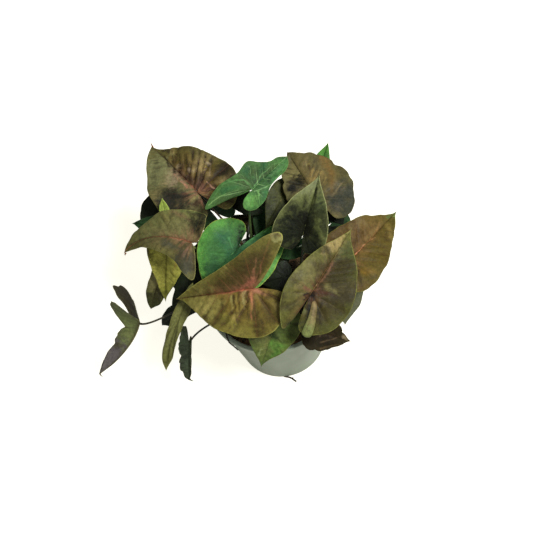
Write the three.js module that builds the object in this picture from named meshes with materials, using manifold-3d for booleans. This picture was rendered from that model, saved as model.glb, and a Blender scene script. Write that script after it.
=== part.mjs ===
// A potted arrowhead plant: five short leafy stems in a plain white nursery pot.
// Millimetres, +Z up. The origin is the centre of the pot's underside, and -Y is the plant's front.
import * as THREE from 'three';
import { mergeVertices } from 'three/addons/utils/BufferGeometryUtils.js';
import Module from 'manifold-3d';

const wasm = await Module();
wasm.setup();

// ---------- driving dimensions ----------

const GAP = 0.3; // clearance between pieces that touch

const POT = {
  rimRadius: 65,
  height: 110,
  baseRadius: 45,
  wall: 1.6,
  floor: 2.2,
  lipWidth: 3.4, // how far the lip stands out from the wall
  lipDepth: 9,
  lipDraft: 1.2, // how much narrower the lip's foot is than its top
  bevel: 1.5, // at the foot and round the rim
  mouthBevel: 3,
  drainHoles: 6,
  drainRadius: 4,
  drainCircle: 32,
  sides: 36,
};

const SOIL = {
  top: 97, // mean height of the surface
  relief: 1.3, // height of its lumps
  coarse: 0.3, // radians of the wider lumps to the millimetre
  fine: 0.5, // and of the narrower ones
  rings: 7,
};

const STEM = {
  radius: 4,
  bury: 22, // length in the soil
  crown: 3, // depth of the tapered top
  taper: 0.8,
  sides: 6,
};

const PETIOLE = {
  radius: 1.5,
  seat: 0.05, // where it meets the blade, as a share of the midrib ahead of the joint
  lean: 0.06, // how far it leans out at its foot, as a share of its span
  rise: 0.4, // and how far it climbs
  sides: 5,
  steps: 7,
};

const BLADE = {
  thickness: 0.8,
  centre: 0.12, // where its rings close, as a share of the midrib
  around: 20,
};

// Where each stem stands in the soil, and the height of its top.
const STEMS = {
  stem_left: { at: [-26, 4], top: 150 },
  stem_front: { at: [-6, -24], top: 146 },
  stem_right: { at: [26, -8], top: 148 },
  stem_back: { at: [16, 24], top: 156 },
  stem_back_left: { at: [-14, 30], top: 150 },
};

// Half of each blade's outline, from the tip round a lobe to the joint with the petiole.
// x is a share of the midrib's length, and y a share of the blade's half width.
const OUTLINES = {
  heart: [
    [1, 0], [0.9, 0.08], [0.74, 0.32], [0.5, 0.68], [0.22, 0.93], [-0.06, 1],
    [-0.32, 0.86], [-0.5, 0.56], [-0.54, 0.28], [-0.38, 0.12], [0, 0],
  ],
  round: [
    [1, 0], [0.92, 0.14], [0.76, 0.48], [0.5, 0.84], [0.18, 1], [-0.16, 0.96],
    [-0.42, 0.74], [-0.56, 0.44], [-0.48, 0.2], [-0.28, 0.1], [0, 0],
  ],
  wing: [
    [1, 0], [0.8, 0.16], [0.5, 0.38], [0.16, 0.62], [-0.14, 0.9], [-0.36, 1],
    [-0.4, 0.84], [-0.24, 0.4], [-0.1, 0.12], [0, 0],
  ],
  horned: [
    [1, 0], [0.82, 0.24], [0.64, 0.32], [0.46, 0.6], [0.33, 0.88], [0.2, 0.92], [-0.04, 0.84],
    [-0.5, 1], [-0.82, 0.92], [-1.06, 0.74], [-0.82, 0.54], [-0.54, 0.37], [-0.26, 0.16], [0, 0],
  ],
  blunt: [
    [1, 0], [0.92, 0.34], [0.76, 0.56], [0.52, 0.56], [0.28, 0.62], [0, 0.96], [-0.24, 1],
    [-0.4, 0.76], [-0.44, 0.36], [-0.3, 0.08], [0, 0],
  ],
  fork: [
    [1, 0], [0.89, 0.26], [0.64, 0.34], [0.38, 0.44], [0.21, 0.49], [0.09, 0.85], [-0.05, 1],
    [-0.09, 0.81], [-0.09, 0.49], [-0.05, 0.14], [0, 0],
  ],
  prong: [
    [1, 0], [0.89, 0.16], [0.64, 0.22], [0.37, 0.26], [0.18, 0.5], [0.13, 0.92], [0, 1],
    [-0.13, 0.74], [-0.11, 0.28], [-0.04, 0.08], [0, 0],
  ],
  closed: [
    [1, 0], [0.9, 0.08], [0.74, 0.32], [0.5, 0.68], [0.22, 0.93], [-0.06, 1],
    [-0.3, 0.82], [-0.48, 0.46], [-0.58, 0.14], [-0.36, 0.03], [0, 0],
  ],
  tongue: [
    [1, 0], [0.92, 0.28], [0.78, 0.72], [0.56, 0.96], [0.32, 0.86], [0.1, 1],
    [-0.1, 0.9], [-0.24, 0.5], [-0.16, 0.2], [0, 0],
  ],
};

// What a leaf has unless it says otherwise. half is the blade's half width as a share of
// its length, and halves and lobes change it for each side, left first. Angles are in
// degrees: fold raises each side from the midrib, arch bends it on its way out, curl bends
// the midrib down to the tip, lobeDrop bends the lobes down, and sweep bends the midrib
// sideways. The margin has `waves` waves of height `wave`. knee is where the petiole comes
// from below and behind the blade, as shares of the petiole's span.
const PLAIN_LEAF = {
  half: 0.56,
  halves: [1, 1],
  lobes: [1, 1],
  fold: 8,
  arch: -14,
  curl: 22,
  lobeDrop: 14,
  sweep: 0,
  wave: 0.02,
  waves: 5,
  rings: 3,
  knee: [0.22, 0.16],
};

// Every leaf by its place. joint is where the petiole meets the blade, and tip is the
// blade's far end. face is roughly where the upper side looks, shape is an outline or one
// for each side, and from is the height at which the petiole leaves its stem, towards the
// blade or in the direction of the angle `leave`.
const LEAVES = {
  // the big bronze leaves on top
  leaf_back_left: {
    joint: [-46, 79, 182], tip: [-82, 148, 178], face: [0.05, -0.35, 1], shape: ['round', 'heart'],
    half: 0.56, halves: [0.9, 0.92], lobes: [0.6, 0.75], fold: 8, wave: 0.035, waves: 6,
    colour: 'bronze', stem: 'stem_back_left', from: 142,
  },
  leaf_left: {
    joint: [-60, 22, 190], tip: [-128, 51, 152], face: [-0.3, -0.25, 0.95], shape: ['wing', 'heart'],
    half: 0.5, halves: [0.75, 0.68], lobes: [0.45, 0.15], arch: -22, curl: 45, sweep: 42, knee: [0.5, -0.28],
    colour: 'bronze', stem: 'stem_back_left', from: 140,
  },
  leaf_front: {
    joint: [-15, -37, 190], tip: [-85, -17, 166], face: [0.05, -0.5, 0.85], shape: ['heart', 'wing'],
    half: 0.6, halves: [0.95, 1], lobes: [0.68, 1.05], fold: 16, arch: -12,
    colour: 'bronze', stem: 'stem_front', from: 136,
  },
  leaf_front_right: {
    joint: [32, -57, 196], tip: [80, -7, 202], face: [0.05, -0.5, 0.87], shape: ['closed', 'heart'],
    half: 0.5, halves: [0.68, 1.05], lobes: [0.95, 0.85], fold: 14, lobeDrop: 34,
    colour: 'bronze', stem: 'stem_front', from: 128,
  },
  leaf_right: {
    joint: [74, -19, 168], tip: [130, 27, 156], face: [0.1, -0.45, 0.9], shape: 'heart', half: 0.42,
    lobes: [0.6, 0.7], fold: 14,
    colour: 'bronze', stem: 'stem_right', from: 136,
  },
  leaf_back_right: {
    joint: [57, 37, 192], tip: [42, 88, 200], face: [0.1, -0.4, 0.9], shape: 'round', half: 0.72,
    halves: [0.62, 1], lobes: [0.4, 0.95], arch: -24, wave: 0.04,
    colour: 'bronze', stem: 'stem_back', from: 146,
  },
  leaf_folded: {
    joint: [39, 3, 196], tip: [63.5, 38, 228], face: [-0.15, -0.6, 0.75], shape: 'heart', half: 0.56,
    halves: [1, 0.8], lobes: [0.6, 0.6], fold: 30,
    colour: 'olive', stem: 'stem_right', from: 140,
  },
  // the green leaves
  leaf_top_green: {
    joint: [5, 42, 222], tip: [40, 63, 228], face: [-0.05, -0.49, 0.87],
    shape: ['horned', 'blunt'], half: 0.58,
    halves: [1, 0.64], fold: 6, lobeDrop: 14, curl: 14, arch: -10,
    colour: 'green', stem: 'stem_back_left', from: 143,
  },
  leaf_round_green: {
    joint: [-23, 19, 166], tip: [-60, 0, 149], face: [-0.1, -0.45, 0.9], shape: 'round', half: 0.8,
    halves: [1.1, 0.95], lobes: [1.75, 0.9], fold: 8,
    colour: 'green', stem: 'stem_left', from: 146,
  },
  leaf_back_tip: {
    joint: [68, 81, 168], tip: [85, 108, 175], face: [0, -0.4, 0.9], shape: 'heart', half: 0.3,
    colour: 'green', stem: 'stem_back', from: 126, rings: 2,
  },
  leaf_low_front: {
    joint: [-1, -54, 158], tip: [-25, -81, 122], face: [-0.1, -0.65, 0.75], shape: 'heart', half: 0.6,
    halves: [0.8, 0.95], lobes: [0.5, 0.5],
    colour: 'green', stem: 'stem_front', from: 118,
  },
  // the hanging leaves on the left
  leaf_hanging_olive: {
    joint: [-84, 53, 156], tip: [-104, 21, 95], face: [-0.3, -0.75, 0.6], shape: 'heart', half: 0.3,
    lobes: [0.4, 0.4],
    colour: 'olive', stem: 'stem_back_left', from: 122,
  },
  leaf_hanging_brown: {
    joint: [-92, 48, 125], tip: [-122, 26, 79], face: [-0.5, -0.5, 0.6], shape: 'tongue', half: 0.22,
    colour: 'brown', stem: 'stem_back_left', from: 112, rings: 2,
  },
  leaf_hanging_dark: {
    joint: [-64, 32, 128], tip: [-102, 10, 86], face: [-0.3, -0.6, 0.6], shape: 'heart', half: 0.3,
    colour: 'dark', stem: 'stem_left', from: 128, rings: 2,
  },
  leaf_low_left: {
    joint: [-74, 6, 114], tip: [-114, 7, 76], face: [-0.4, -0.6, 0.6], shape: 'tongue', half: 0.2,
    colour: 'dark', stem: 'stem_left', from: 110, leave: 150, rings: 2,
  },
  leaf_tongue: {
    joint: [-77, -17, 156], tip: [-114, -51, 95], face: [-0.5, -0.6, 0.6], shape: 'tongue',
    half: 0.1, sweep: 14, colour: 'olive', stem: 'stem_left', from: 122,
  },
  leaf_trailing_left: {
    joint: [-128.8, -4.4, 118.1], tip: [-185.3, -23.8, 63], face: [-0.59, 0.82, 0.08],
    shape: ['fork', 'prong'], half: 0.5,
    fold: 59.5, arch: 42, sweep: 63, halves: [0.83, 1.16], curl: -9, lobeDrop: 18,
    colour: 'brown', stem: 'stem_left', from: 116,
  },
  leaf_trailing_front: {
    joint: [-87, -33, 106], tip: [-98, -50, 58], face: [-0.3, -0.8, 0.4], shape: 'tongue', half: 0.14,
    halves: [0.5, 1.5], lobes: [0.6, 1.6],
    colour: 'dark', stem: 'stem_front', from: 112,
  },
  // the dark leaves in the middle and underneath
  leaf_low_brown: {
    joint: [30, -66, 140], tip: [60, -76, 122], face: [0.1, -0.5, 0.85], shape: 'heart', half: 0.5,
    lobes: [0.6, 0.6],
    colour: 'brown', stem: 'stem_right', from: 116, rings: 2,
  },
  leaf_low_dark: {
    joint: [12, -50, 130], tip: [0, -61, 120], face: [-0.1, -0.6, 0.8], shape: 'heart', half: 0.3,
    colour: 'dark', stem: 'stem_front', from: 108, rings: 2,
  },
  leaf_pale_under: {
    joint: [71, -35, 140], tip: [59, -51, 105], face: [0.6, -0.5, 0.4], shape: 'round', half: 0.45,
    colour: 'pale', stem: 'stem_right', from: 122, rings: 2,
  },
  leaf_behind_left: {
    joint: [-92, 88, 140], tip: [-89, 124, 143], face: [-0.1, -0.3, 0.95], shape: 'round', half: 0.5,
    colour: 'dark', stem: 'stem_back_left', from: 132, rings: 2,
  },
  leaf_small_left: {
    joint: [-92, 72, 152], tip: [-117, 84, 150], face: [-0.1, -0.3, 0.95], shape: 'heart', half: 0.4,
    colour: 'darkgreen', stem: 'stem_back_left', from: 138, rings: 2,
  },
  leaf_young_left: {
    joint: [-79, 54, 178], tip: [-78.3, 72, 197], face: [-0.3, -0.8, 0.5], shape: 'tongue', half: 0.2,
    knee: [0.02, 0.3],
    colour: 'pale', stem: 'stem_left', from: 136, rings: 2,
  },
  leaf_inner_left: {
    joint: [-4, 64, 170], tip: [-28, 86, 163], face: [-0.1, -0.4, 0.9], shape: 'heart', half: 0.34,
    colour: 'dark', stem: 'stem_back_left', from: 142, rings: 2,
  },
  leaf_inner_brown: {
    joint: [-4, 56, 142], tip: [-25, 76, 138], face: [-0.1, -0.4, 0.9], shape: 'heart', half: 0.3,
    colour: 'brown', stem: 'stem_back_left', from: 126, rings: 2,
  },
  leaf_inner_olive: {
    joint: [29, 50, 187], tip: [6, 26, 176], face: [-0.1, -0.6, 0.7],
    shape: 'heart', half: 0.4, leave: 110,
    colour: 'olive', stem: 'stem_back', from: 142, rings: 2,
  },
  leaf_inner_back: {
    joint: [38, 60, 164], tip: [24, 38, 154], face: [0.1, -0.6, 0.7], shape: 'heart', half: 0.4,
    colour: 'darkgreen', stem: 'stem_back', from: 134, rings: 2,
  },
  leaf_under_right: {
    joint: [70, 41, 170], tip: [79, 24, 155], face: [0.2, -0.5, 0.85], shape: 'heart', half: 0.6,
    colour: 'dark', stem: 'stem_back', from: 134, rings: 2,
  },
  leaf_centre: {
    joint: [28, 10, 160], tip: [7, 12, 151], face: [0, -0.4, 0.9], shape: 'heart', half: 0.42,
    colour: 'darkgreen', stem: 'stem_back', from: 128, rings: 2,
  },
  leaf_centre_dark: {
    joint: [18, -8, 145], tip: [-10, -8, 141], face: [-0.1, -0.4, 0.9], shape: 'heart',
    half: 0.55, lobes: [0.3, 0.3], colour: 'dark', stem: 'stem_right', from: 126, rings: 2,
  },
  leaf_centre_green: {
    joint: [14, 56, 156], tip: [-4, 34, 146], face: [0, -0.5, 0.85], shape: 'heart',
    half: 0.5, lobes: [0.5, 0.5], colour: 'darkgreen', stem: 'stem_back', from: 122, rings: 2,
  },
  leaf_back_low_left: {
    joint: [-42, 88, 138], tip: [-64, 128, 112], face: [-0.2, 0.3, 0.9], shape: 'heart', half: 0.5,
    colour: 'darkgreen', stem: 'stem_back_left', from: 114, rings: 2,
  },
  leaf_back_low_right: {
    joint: [48, 78, 138], tip: [64, 118, 110], face: [0.2, 0.3, 0.9], shape: 'heart', half: 0.5,
    colour: 'darkgreen', stem: 'stem_back', from: 116, rings: 2,
  },
  leaf_back_low: {
    joint: [8, 80, 126], tip: [14, 112, 104], face: [0, 0.5, 0.85], shape: 'heart', half: 0.5,
    colour: 'dark', stem: 'stem_back_left', from: 110, rings: 2,
  },
  leaf_right_back: {
    joint: [74, 52, 122], tip: [92, 70, 100], face: [0.5, 0.3, 0.85], shape: 'heart', half: 0.5,
    colour: 'darkgreen', stem: 'stem_back', from: 110, rings: 2,
  },
  leaf_right_low: {
    joint: [76, 17, 135], tip: [108, 26, 107], face: [0.5, 0, 0.85], shape: 'heart', half: 0.5,
    colour: 'dark', stem: 'stem_right', from: 118, rings: 2,
  },
  leaf_right_under: {
    joint: [70, -4, 117], tip: [94, -4, 95], face: [0.6, -0.2, 0.8], shape: 'heart', half: 0.5,
    colour: 'darkgreen', stem: 'stem_right', from: 110, rings: 2,
  },
};

const finish = (color, roughness) => new THREE.MeshStandardMaterial({ color, roughness, metalness: 0 });

const FINISHES = {
  pot: finish(0xd9dcd6, 0.42),
  soil: finish(0x2b211b, 0.95),
  stem: finish(0x4f5a34, 0.6),
  bronze: finish(0x5a4228, 0.45),
  olive: finish(0x4d4f26, 0.45),
  brown: finish(0x3c2c22, 0.5),
  dark: finish(0x1d241c, 0.5),
  green: finish(0x2f6a35, 0.4),
  darkgreen: finish(0x1f3a26, 0.45),
  pale: finish(0x8a9a80, 0.55),
};

// ---------- solids ----------

const radians = THREE.MathUtils.degToRad;

// A geometry as a manifold-3d solid.
function solidFrom(geometry) {
  const bare = geometry.index ? geometry.toNonIndexed() : geometry.clone();
  for (const name of Object.keys(bare.attributes)) {
    if (name !== 'position') bare.deleteAttribute(name);
  }
  const merged = mergeVertices(bare, 1e-3);
  return new wasm.Manifold(
    new wasm.Mesh({
      numProp: 3,
      vertProperties: merged.attributes.position.array,
      triVerts: new Uint32Array(merged.index.array),
    }),
  );
}

function meshOf(name, solid, material) {
  const shell = solid.getMesh();
  const geometry = new THREE.BufferGeometry();
  geometry.setAttribute('position', new THREE.BufferAttribute(shell.vertProperties, 3));
  geometry.setIndex(new THREE.BufferAttribute(shell.triVerts, 1));
  geometry.computeVertexNormals();
  const mesh = new THREE.Mesh(geometry, material);
  mesh.name = name;
  return mesh;
}

// A profile of [radius, height] pairs turned about the upright axis.
function turnedFrom(profile, sides) {
  const points = profile.map(([radius, z]) => new THREE.Vector2(radius, z));
  return new THREE.LatheGeometry(points, sides).rotateX(Math.PI / 2);
}

// An upright cylinder with its middle at (x, y, z).
function uprightRod(radius, length, sides, x, y, z) {
  const rod = new THREE.CylinderGeometry(radius, radius, length, sides);
  return solidFrom(rod.rotateX(Math.PI / 2).translate(x, y, z));
}

// A tube along a curve, of a regular section.
function tube(curve, radius, sides, steps) {
  const corners = Array.from({ length: sides }, (_, i) => {
    const angle = (2 * Math.PI * i) / sides;
    return new THREE.Vector2(radius * Math.cos(angle), radius * Math.sin(angle));
  });
  const section = new THREE.Shape(corners);
  return new THREE.ExtrudeGeometry(section, { steps, extrudePath: curve, bevelEnabled: false });
}

// ---------- leaves ----------

// The blade's closed flat outline for a midrib of length 1, from the petiole joint round
// the right side to the tip, and back round the left side.
function outlineOf(leaf) {
  const kinds = [leaf.shape].flat();
  const sideOf = (sign, kind, share, lobe) => {
    const width = sign * share * leaf.half;
    const points = OUTLINES[kind].map(([x, y]) => new THREE.Vector2(x < 0 ? x * lobe : x, y * width));
    return new THREE.SplineCurve(points).getSpacedPoints(BLADE.around / 2);
  };
  const left = sideOf(1, kinds[0], leaf.halves[0], leaf.lobes[0]);
  const right = sideOf(-1, kinds.at(-1), leaf.halves[1], leaf.lobes[1]);
  return [...right.reverse(), ...left.slice(1)];
}

// A line sets off at the angle `start` and turns steadily, by `turn` over `length`: how far
// it has gone forward and sideways after the distance s.
function arc(s, turn, length, start = 0) {
  const rate = turn / length;
  if (Math.abs(rate) < 1e-6) return [s * Math.cos(start), s * Math.sin(start)];
  const end = start + rate * s;
  return [(Math.sin(end) - Math.sin(start)) / rate, (Math.cos(start) - Math.cos(end)) / rate];
}

// The bent blade's middle surface at flat point (x, y). `edge` runs from 0 inside to 1 on
// the margin, and `round` from 0 to 1 along the margin.
function bent(leaf, x, y, edge, round) {
  const turn = radians(x < 0 ? leaf.lobeDrop : leaf.curl);
  const [forward, drop] = arc(Math.abs(x), turn, 1);
  const slope = turn * x;
  const [across, rise] = arc(Math.abs(y), radians(leaf.arch), leaf.half, radians(leaf.fold));
  const lift = rise + leaf.wave * edge * edge * Math.sin(2 * Math.PI * leaf.waves * round);
  const aside = Math.sign(y) * across;
  const ahead = Math.sign(x) * forward + lift * Math.sin(slope);
  const height = lift * Math.cos(slope) - drop;
  if (x <= 0) return new THREE.Vector3(ahead, aside, height);
  const sweep = radians(leaf.sweep);
  const [onward, sideways] = arc(x, sweep, 1);
  const turned = sweep * x;
  return new THREE.Vector3(
    ahead - x + onward - aside * Math.sin(turned),
    sideways + aside * Math.cos(turned),
    height,
  );
}

// The frame that carries the blade from its own unit space to its place: the chord from
// the joint to the tip lies where the leaf says, and its upper side looks along `face`.
function placement(leaf) {
  const joint = new THREE.Vector3(...leaf.joint);
  const reach = new THREE.Vector3(...leaf.tip).sub(joint);
  const chord = bent(leaf, 1, 0, 0, 0);
  const size = reach.length() / chord.length();
  const basis = (forward, up) => {
    const x = forward.clone().normalize();
    const y = up.clone().cross(x).normalize();
    return new THREE.Matrix4().makeBasis(x, y, x.clone().cross(y));
  };
  const own = basis(chord, new THREE.Vector3(0, 0, 1));
  const matrix = basis(reach, new THREE.Vector3(...leaf.face)).multiply(own.transpose());
  matrix.scale(new THREE.Vector3(size, size, size));
  matrix.setPosition(joint);
  return { matrix, size };
}

// A ball whose upper half becomes the blade's upper side and whose lower half its lower
// side, with the equator on the margin.
function bladeSolid(leaf) {
  const outline = outlineOf(leaf);
  const { matrix, size } = placement(leaf);
  const levels = 2 * leaf.rings + 1;
  const ball = new THREE.SphereGeometry(1, BLADE.around, levels);
  const place = ball.attributes.position;
  const grid = ball.attributes.uv;
  const centre = new THREE.Vector2(BLADE.centre, 0);
  const half = BLADE.thickness / 2 / size;
  const mitre = half / Math.cos(radians(leaf.fold)); // in the crease of the midrib
  const step = 1e-3;
  for (let i = 0; i < place.count; i++) {
    const level = Math.round((1 - grid.getY(i)) * levels);
    const above = level <= leaf.rings;
    const ring = above ? level : levels - level;
    const edge = ring / leaf.rings;
    const spoke = ring === 0 ? 0 : Math.round(grid.getX(i) * BLADE.around);
    const round = spoke / BLADE.around;
    const flat = centre.clone().lerp(outline[spoke % BLADE.around], edge);
    const at = (dx, dy) => bent(leaf, flat.x + dx, flat.y + dy, edge, round);
    const middle = at(0, 0);
    const up = at(step, 0).sub(at(-step, 0)).cross(at(0, step).sub(at(0, -step))).normalize();
    const depth = Math.abs(flat.y) < step ? mitre + (half - mitre) * edge : half;
    middle.addScaledVector(up, above ? depth : -depth);
    place.setXYZ(i, middle.x, middle.y, middle.z);
  }
  splitAlike(ball, leaf.rings);
  return solidFrom(ball.applyMatrix4(matrix));
}

// Turns the diagonals of the ball's lower half over, so that they lie under the upper ones
// and a waved blade keeps its thickness.
function splitAlike(ball, rings) {
  const corners = ball.index;
  for (let row = rings + 1; row < 2 * rings; row++) {
    for (let spoke = 0; spoke < BLADE.around; spoke++) {
      const first = 3 * BLADE.around + 6 * ((row - 1) * BLADE.around + spoke);
      const [a, b, d, , c] = corners.array.slice(first, first + 5);
      [a, b, c, a, c, d].forEach((corner, k) => corners.setX(first + k, corner));
    }
  }
}

// How far a stem's corners reach from its axis towards `bearing`.
function stemReach(bearing) {
  const sector = (2 * Math.PI) / STEM.sides;
  const past = THREE.MathUtils.euclideanModulo(bearing + Math.PI / 2, sector);
  return STEM.radius * Math.cos(Math.min(past, sector - past));
}

// From the side of its stem, up and out, and into the underside of the blade.
function petioleCurve(leaf) {
  const joint = new THREE.Vector3(...leaf.joint);
  const { matrix, size } = placement(leaf);
  const ahead = new THREE.Vector3().setFromMatrixColumn(matrix, 0).normalize();
  const up = new THREE.Vector3().setFromMatrixColumn(matrix, 2).normalize();
  const [x, y] = STEMS[leaf.stem].at;
  const bearing = leaf.leave === undefined ? Math.atan2(joint.y - y, joint.x - x) : radians(leaf.leave);
  const heading = new THREE.Vector3(Math.cos(bearing), Math.sin(bearing), 0);
  const reach = stemReach(bearing) + GAP + PETIOLE.radius;
  const start = new THREE.Vector3(x, y, leaf.from).addScaledVector(heading, reach);
  const span = start.distanceTo(joint);
  const low = start.clone().addScaledVector(heading, PETIOLE.lean * span);
  low.z += PETIOLE.rise * span;
  const [below, behind] = leaf.knee;
  const corner = (PETIOLE.radius * Math.abs(behind)) / Math.hypot(below, behind);
  const sunk = corner - BLADE.thickness / 4; // the end's upper corner stays inside the blade
  const seat = joint.clone().addScaledVector(ahead, PETIOLE.seat * size).addScaledVector(up, -sunk);
  const high = seat.clone().addScaledVector(up, -below * span).addScaledVector(ahead, -behind * span);
  return new THREE.CubicBezierCurve3(start, low, high, seat);
}

function leafMesh(name, given) {
  const leaf = { ...PLAIN_LEAF, ...given };
  const blade = bladeSolid(leaf);
  const petiole = solidFrom(tube(petioleCurve(leaf), PETIOLE.radius, PETIOLE.sides, PETIOLE.steps));
  return meshOf(name, blade.add(petiole), FINISHES[leaf.colour]);
}

// ---------- stems, soil and pot ----------

function stemMesh(name, { at, top }) {
  const { radius, bury, crown, taper } = STEM;
  const foot = SOIL.top - bury;
  const profile = [
    [0, foot],
    [radius, foot],
    [radius, top - 2 * crown],
    [radius * taper, top - crown],
    [0, top],
  ];
  const turned = turnedFrom(profile, STEM.sides).translate(...at, 0);
  return meshOf(name, solidFrom(turned), FINISHES.stem);
}

// The wall's outside and inside radius at height z.
function wallRadius(z) {
  const top = POT.rimRadius - POT.lipWidth;
  return POT.baseRadius + ((top - POT.baseRadius) * z) / POT.height;
}

function insideRadius(z) {
  return wallRadius(z) - POT.wall;
}

// The potting mix fills the pot, has an uneven surface and a plain hole for each stem.
function soilMesh() {
  const { top, relief, coarse, fine, rings } = SOIL;
  const foot = POT.floor + GAP;
  const rim = insideRadius(top) - GAP;
  const profile = [[0, foot], [insideRadius(foot) - GAP, foot], [rim, top]];
  for (let i = rings - 1; i >= 0; i--) {
    profile.push([(rim * i) / rings, top]);
  }
  const turned = turnedFrom(profile, POT.sides);
  const place = turned.attributes.position;
  for (let i = 0; i < place.count; i++) {
    const [x, y, z] = [place.getX(i), place.getY(i), place.getZ(i)];
    if (z < top - GAP || Math.hypot(x, y) > rim - GAP) continue;
    const lumps = Math.sin(coarse * (x + 4)) * Math.cos(coarse * y) + Math.sin(fine * (y - x)) / 2;
    place.setZ(i, z + relief * lumps);
  }
  const sides = 2 * STEM.sides;
  const holeRadius = (STEM.radius + GAP) / Math.cos(Math.PI / sides);
  return Object.values(STEMS).reduce((soil, { at }) => {
    const hole = uprightRod(holeRadius, 2 * (STEM.bury + GAP), sides, ...at, top);
    return soil.subtract(hole);
  }, solidFrom(turned));
}

function potSolid() {
  const { rimRadius, height, baseRadius, floor, lipWidth, lipDepth, lipDraft, bevel, mouthBevel } = POT;
  const lipFoot = height - lipDepth;
  const profile = [
    [0, 0],
    [baseRadius - bevel, 0],
    [baseRadius, bevel],
    [wallRadius(lipFoot - bevel), lipFoot - bevel],
    [rimRadius - lipDraft, lipFoot],
    [rimRadius, height - bevel],
    [rimRadius - bevel, height],
    [rimRadius - lipWidth, height],
    [insideRadius(height - mouthBevel), height - mouthBevel],
    [insideRadius(floor), floor],
    [0, floor],
  ];
  let pot = solidFrom(turnedFrom(profile, POT.sides));
  for (let i = 0; i < POT.drainHoles; i++) {
    const angle = (2 * Math.PI * (i + 0.5)) / POT.drainHoles;
    const [x, y] = [POT.drainCircle * Math.cos(angle), POT.drainCircle * Math.sin(angle)];
    pot = pot.subtract(uprightRod(POT.drainRadius, 4 * floor, 10, x, y, floor));
  }
  return pot;
}

// ---------- the plant ----------

const plant = new THREE.Group();
plant.add(meshOf('pot', potSolid(), FINISHES.pot));
plant.add(meshOf('soil', soilMesh(), FINISHES.soil));
for (const [name, stem] of Object.entries(STEMS)) {
  plant.add(stemMesh(name, stem));
}
for (const [name, leaf] of Object.entries(LEAVES)) {
  plant.add(leafMesh(name, leaf));
}

export default plant;
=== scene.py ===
"""The looks of a potted arrowhead plant: leaf blades, petioles, stems, potting mix and pot."""

import logging
import math
import random
from dataclasses import dataclass, replace
from enum import Enum
from typing import Callable

import bmesh
import bpy
import numpy as np
from mathutils import Matrix, Vector, noise

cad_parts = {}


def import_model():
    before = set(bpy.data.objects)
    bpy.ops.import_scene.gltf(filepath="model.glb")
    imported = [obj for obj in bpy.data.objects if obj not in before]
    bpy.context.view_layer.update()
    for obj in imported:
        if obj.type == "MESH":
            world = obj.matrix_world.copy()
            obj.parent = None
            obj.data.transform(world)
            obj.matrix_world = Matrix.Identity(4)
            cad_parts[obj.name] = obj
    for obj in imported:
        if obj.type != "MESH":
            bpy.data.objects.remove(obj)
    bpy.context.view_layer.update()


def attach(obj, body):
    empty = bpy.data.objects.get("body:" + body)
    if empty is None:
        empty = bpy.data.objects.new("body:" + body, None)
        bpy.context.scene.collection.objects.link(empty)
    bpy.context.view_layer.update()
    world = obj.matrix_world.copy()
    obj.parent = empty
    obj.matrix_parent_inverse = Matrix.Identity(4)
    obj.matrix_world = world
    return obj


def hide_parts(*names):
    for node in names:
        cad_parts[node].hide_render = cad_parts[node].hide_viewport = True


LOG = logging.getLogger("plant")
MM = 0.001
SEED = 31
UPPER, LOWER, STALK = 0, 1, 2  # material slots of a leaf
ROLL = 3  # where the coordinates of a rolled-up strip start, past every place on a blade
GAP = 0.3  # clearance between pieces that touch, in millimetres
PIXEL = 0.93  # millimetres of blade, about, under one pixel of the main view
THINNEST = 0.009  # width of the thinnest streak, in the blade's own unit
DARK_BELOW, DARK_GAIN = 0x40, 1.15  # dark marks by the mean of their colour code, and how they grow
PALE_ABOVE, PALE_GAIN = 0x60, 0.72  # the same for pale marks

Points = np.ndarray  # n rows of x, y and z in millimetres
Place = Callable[[np.ndarray, np.ndarray], Points]
Colour = tuple[float, float, float, float]


def tint(code: str) -> Colour:
    """Gives the linear colour of a six-digit sRGB code."""
    shares = [int(code[i : i + 2], 16) / 255 for i in (0, 2, 4)]
    linear = [s / 12.92 if s <= 0.04045 else ((s + 0.055) / 1.055) ** 2.4 for s in shares]
    return (*linear, 1.0)


def unit(vectors: np.ndarray) -> np.ndarray:
    """Scales each vector of the last axis to length 1."""
    return vectors / np.maximum(np.linalg.norm(vectors, axis=-1, keepdims=True), 1e-12)


def smooth(x: np.ndarray, low: float, high: float) -> np.ndarray:
    """Climbs from 0 at `low` to 1 at `high` without a corner."""
    t = np.clip((x - low) / (high - low), 0, 1)
    return t * t * (3 - 2 * t)


# ---------- the main view ----------


@dataclass(frozen=True)
class View:
    """The camera of the main view. Its eye is in metres, lens and sensor in millimetres."""

    eye: tuple[float, float, float] = (0.0, -0.39905, 0.86051)
    across: tuple[float, float, float] = (0.974388, -0.195848, -0.110505)
    down: tuple[float, float, float] = (-0.224872, -0.847601, -0.480631)
    ahead: tuple[float, float, float] = (0.000466, 0.493170, -0.869933)
    lens: float = 59.99
    sensor: float = 36.0
    pixels: int = 533  # width and height of the main view

    def project(self, points: Points) -> np.ndarray:
        """Gives the pixels, across and down, at which points in millimetres are seen."""
        off = points * MM - np.array(self.eye)
        scale = self.lens / self.sensor * self.pixels / (off @ np.array(self.ahead))
        return self.pixels / 2 + scale[:, None] * (off @ np.array([self.across, self.down]).T)


@dataclass(frozen=True)
class Window:
    """An enlarged part of the main view, in which marks are placed. Its corner is in pixels."""

    left: float = 0.0
    top: float = 0.0
    zoom: float = 1.0

    def pixel(self, point: tuple[float, float]) -> np.ndarray:
        """Gives the main view's pixel at a point of the window."""
        return np.array((self.left, self.top)) + np.array(point) / self.zoom


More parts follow.
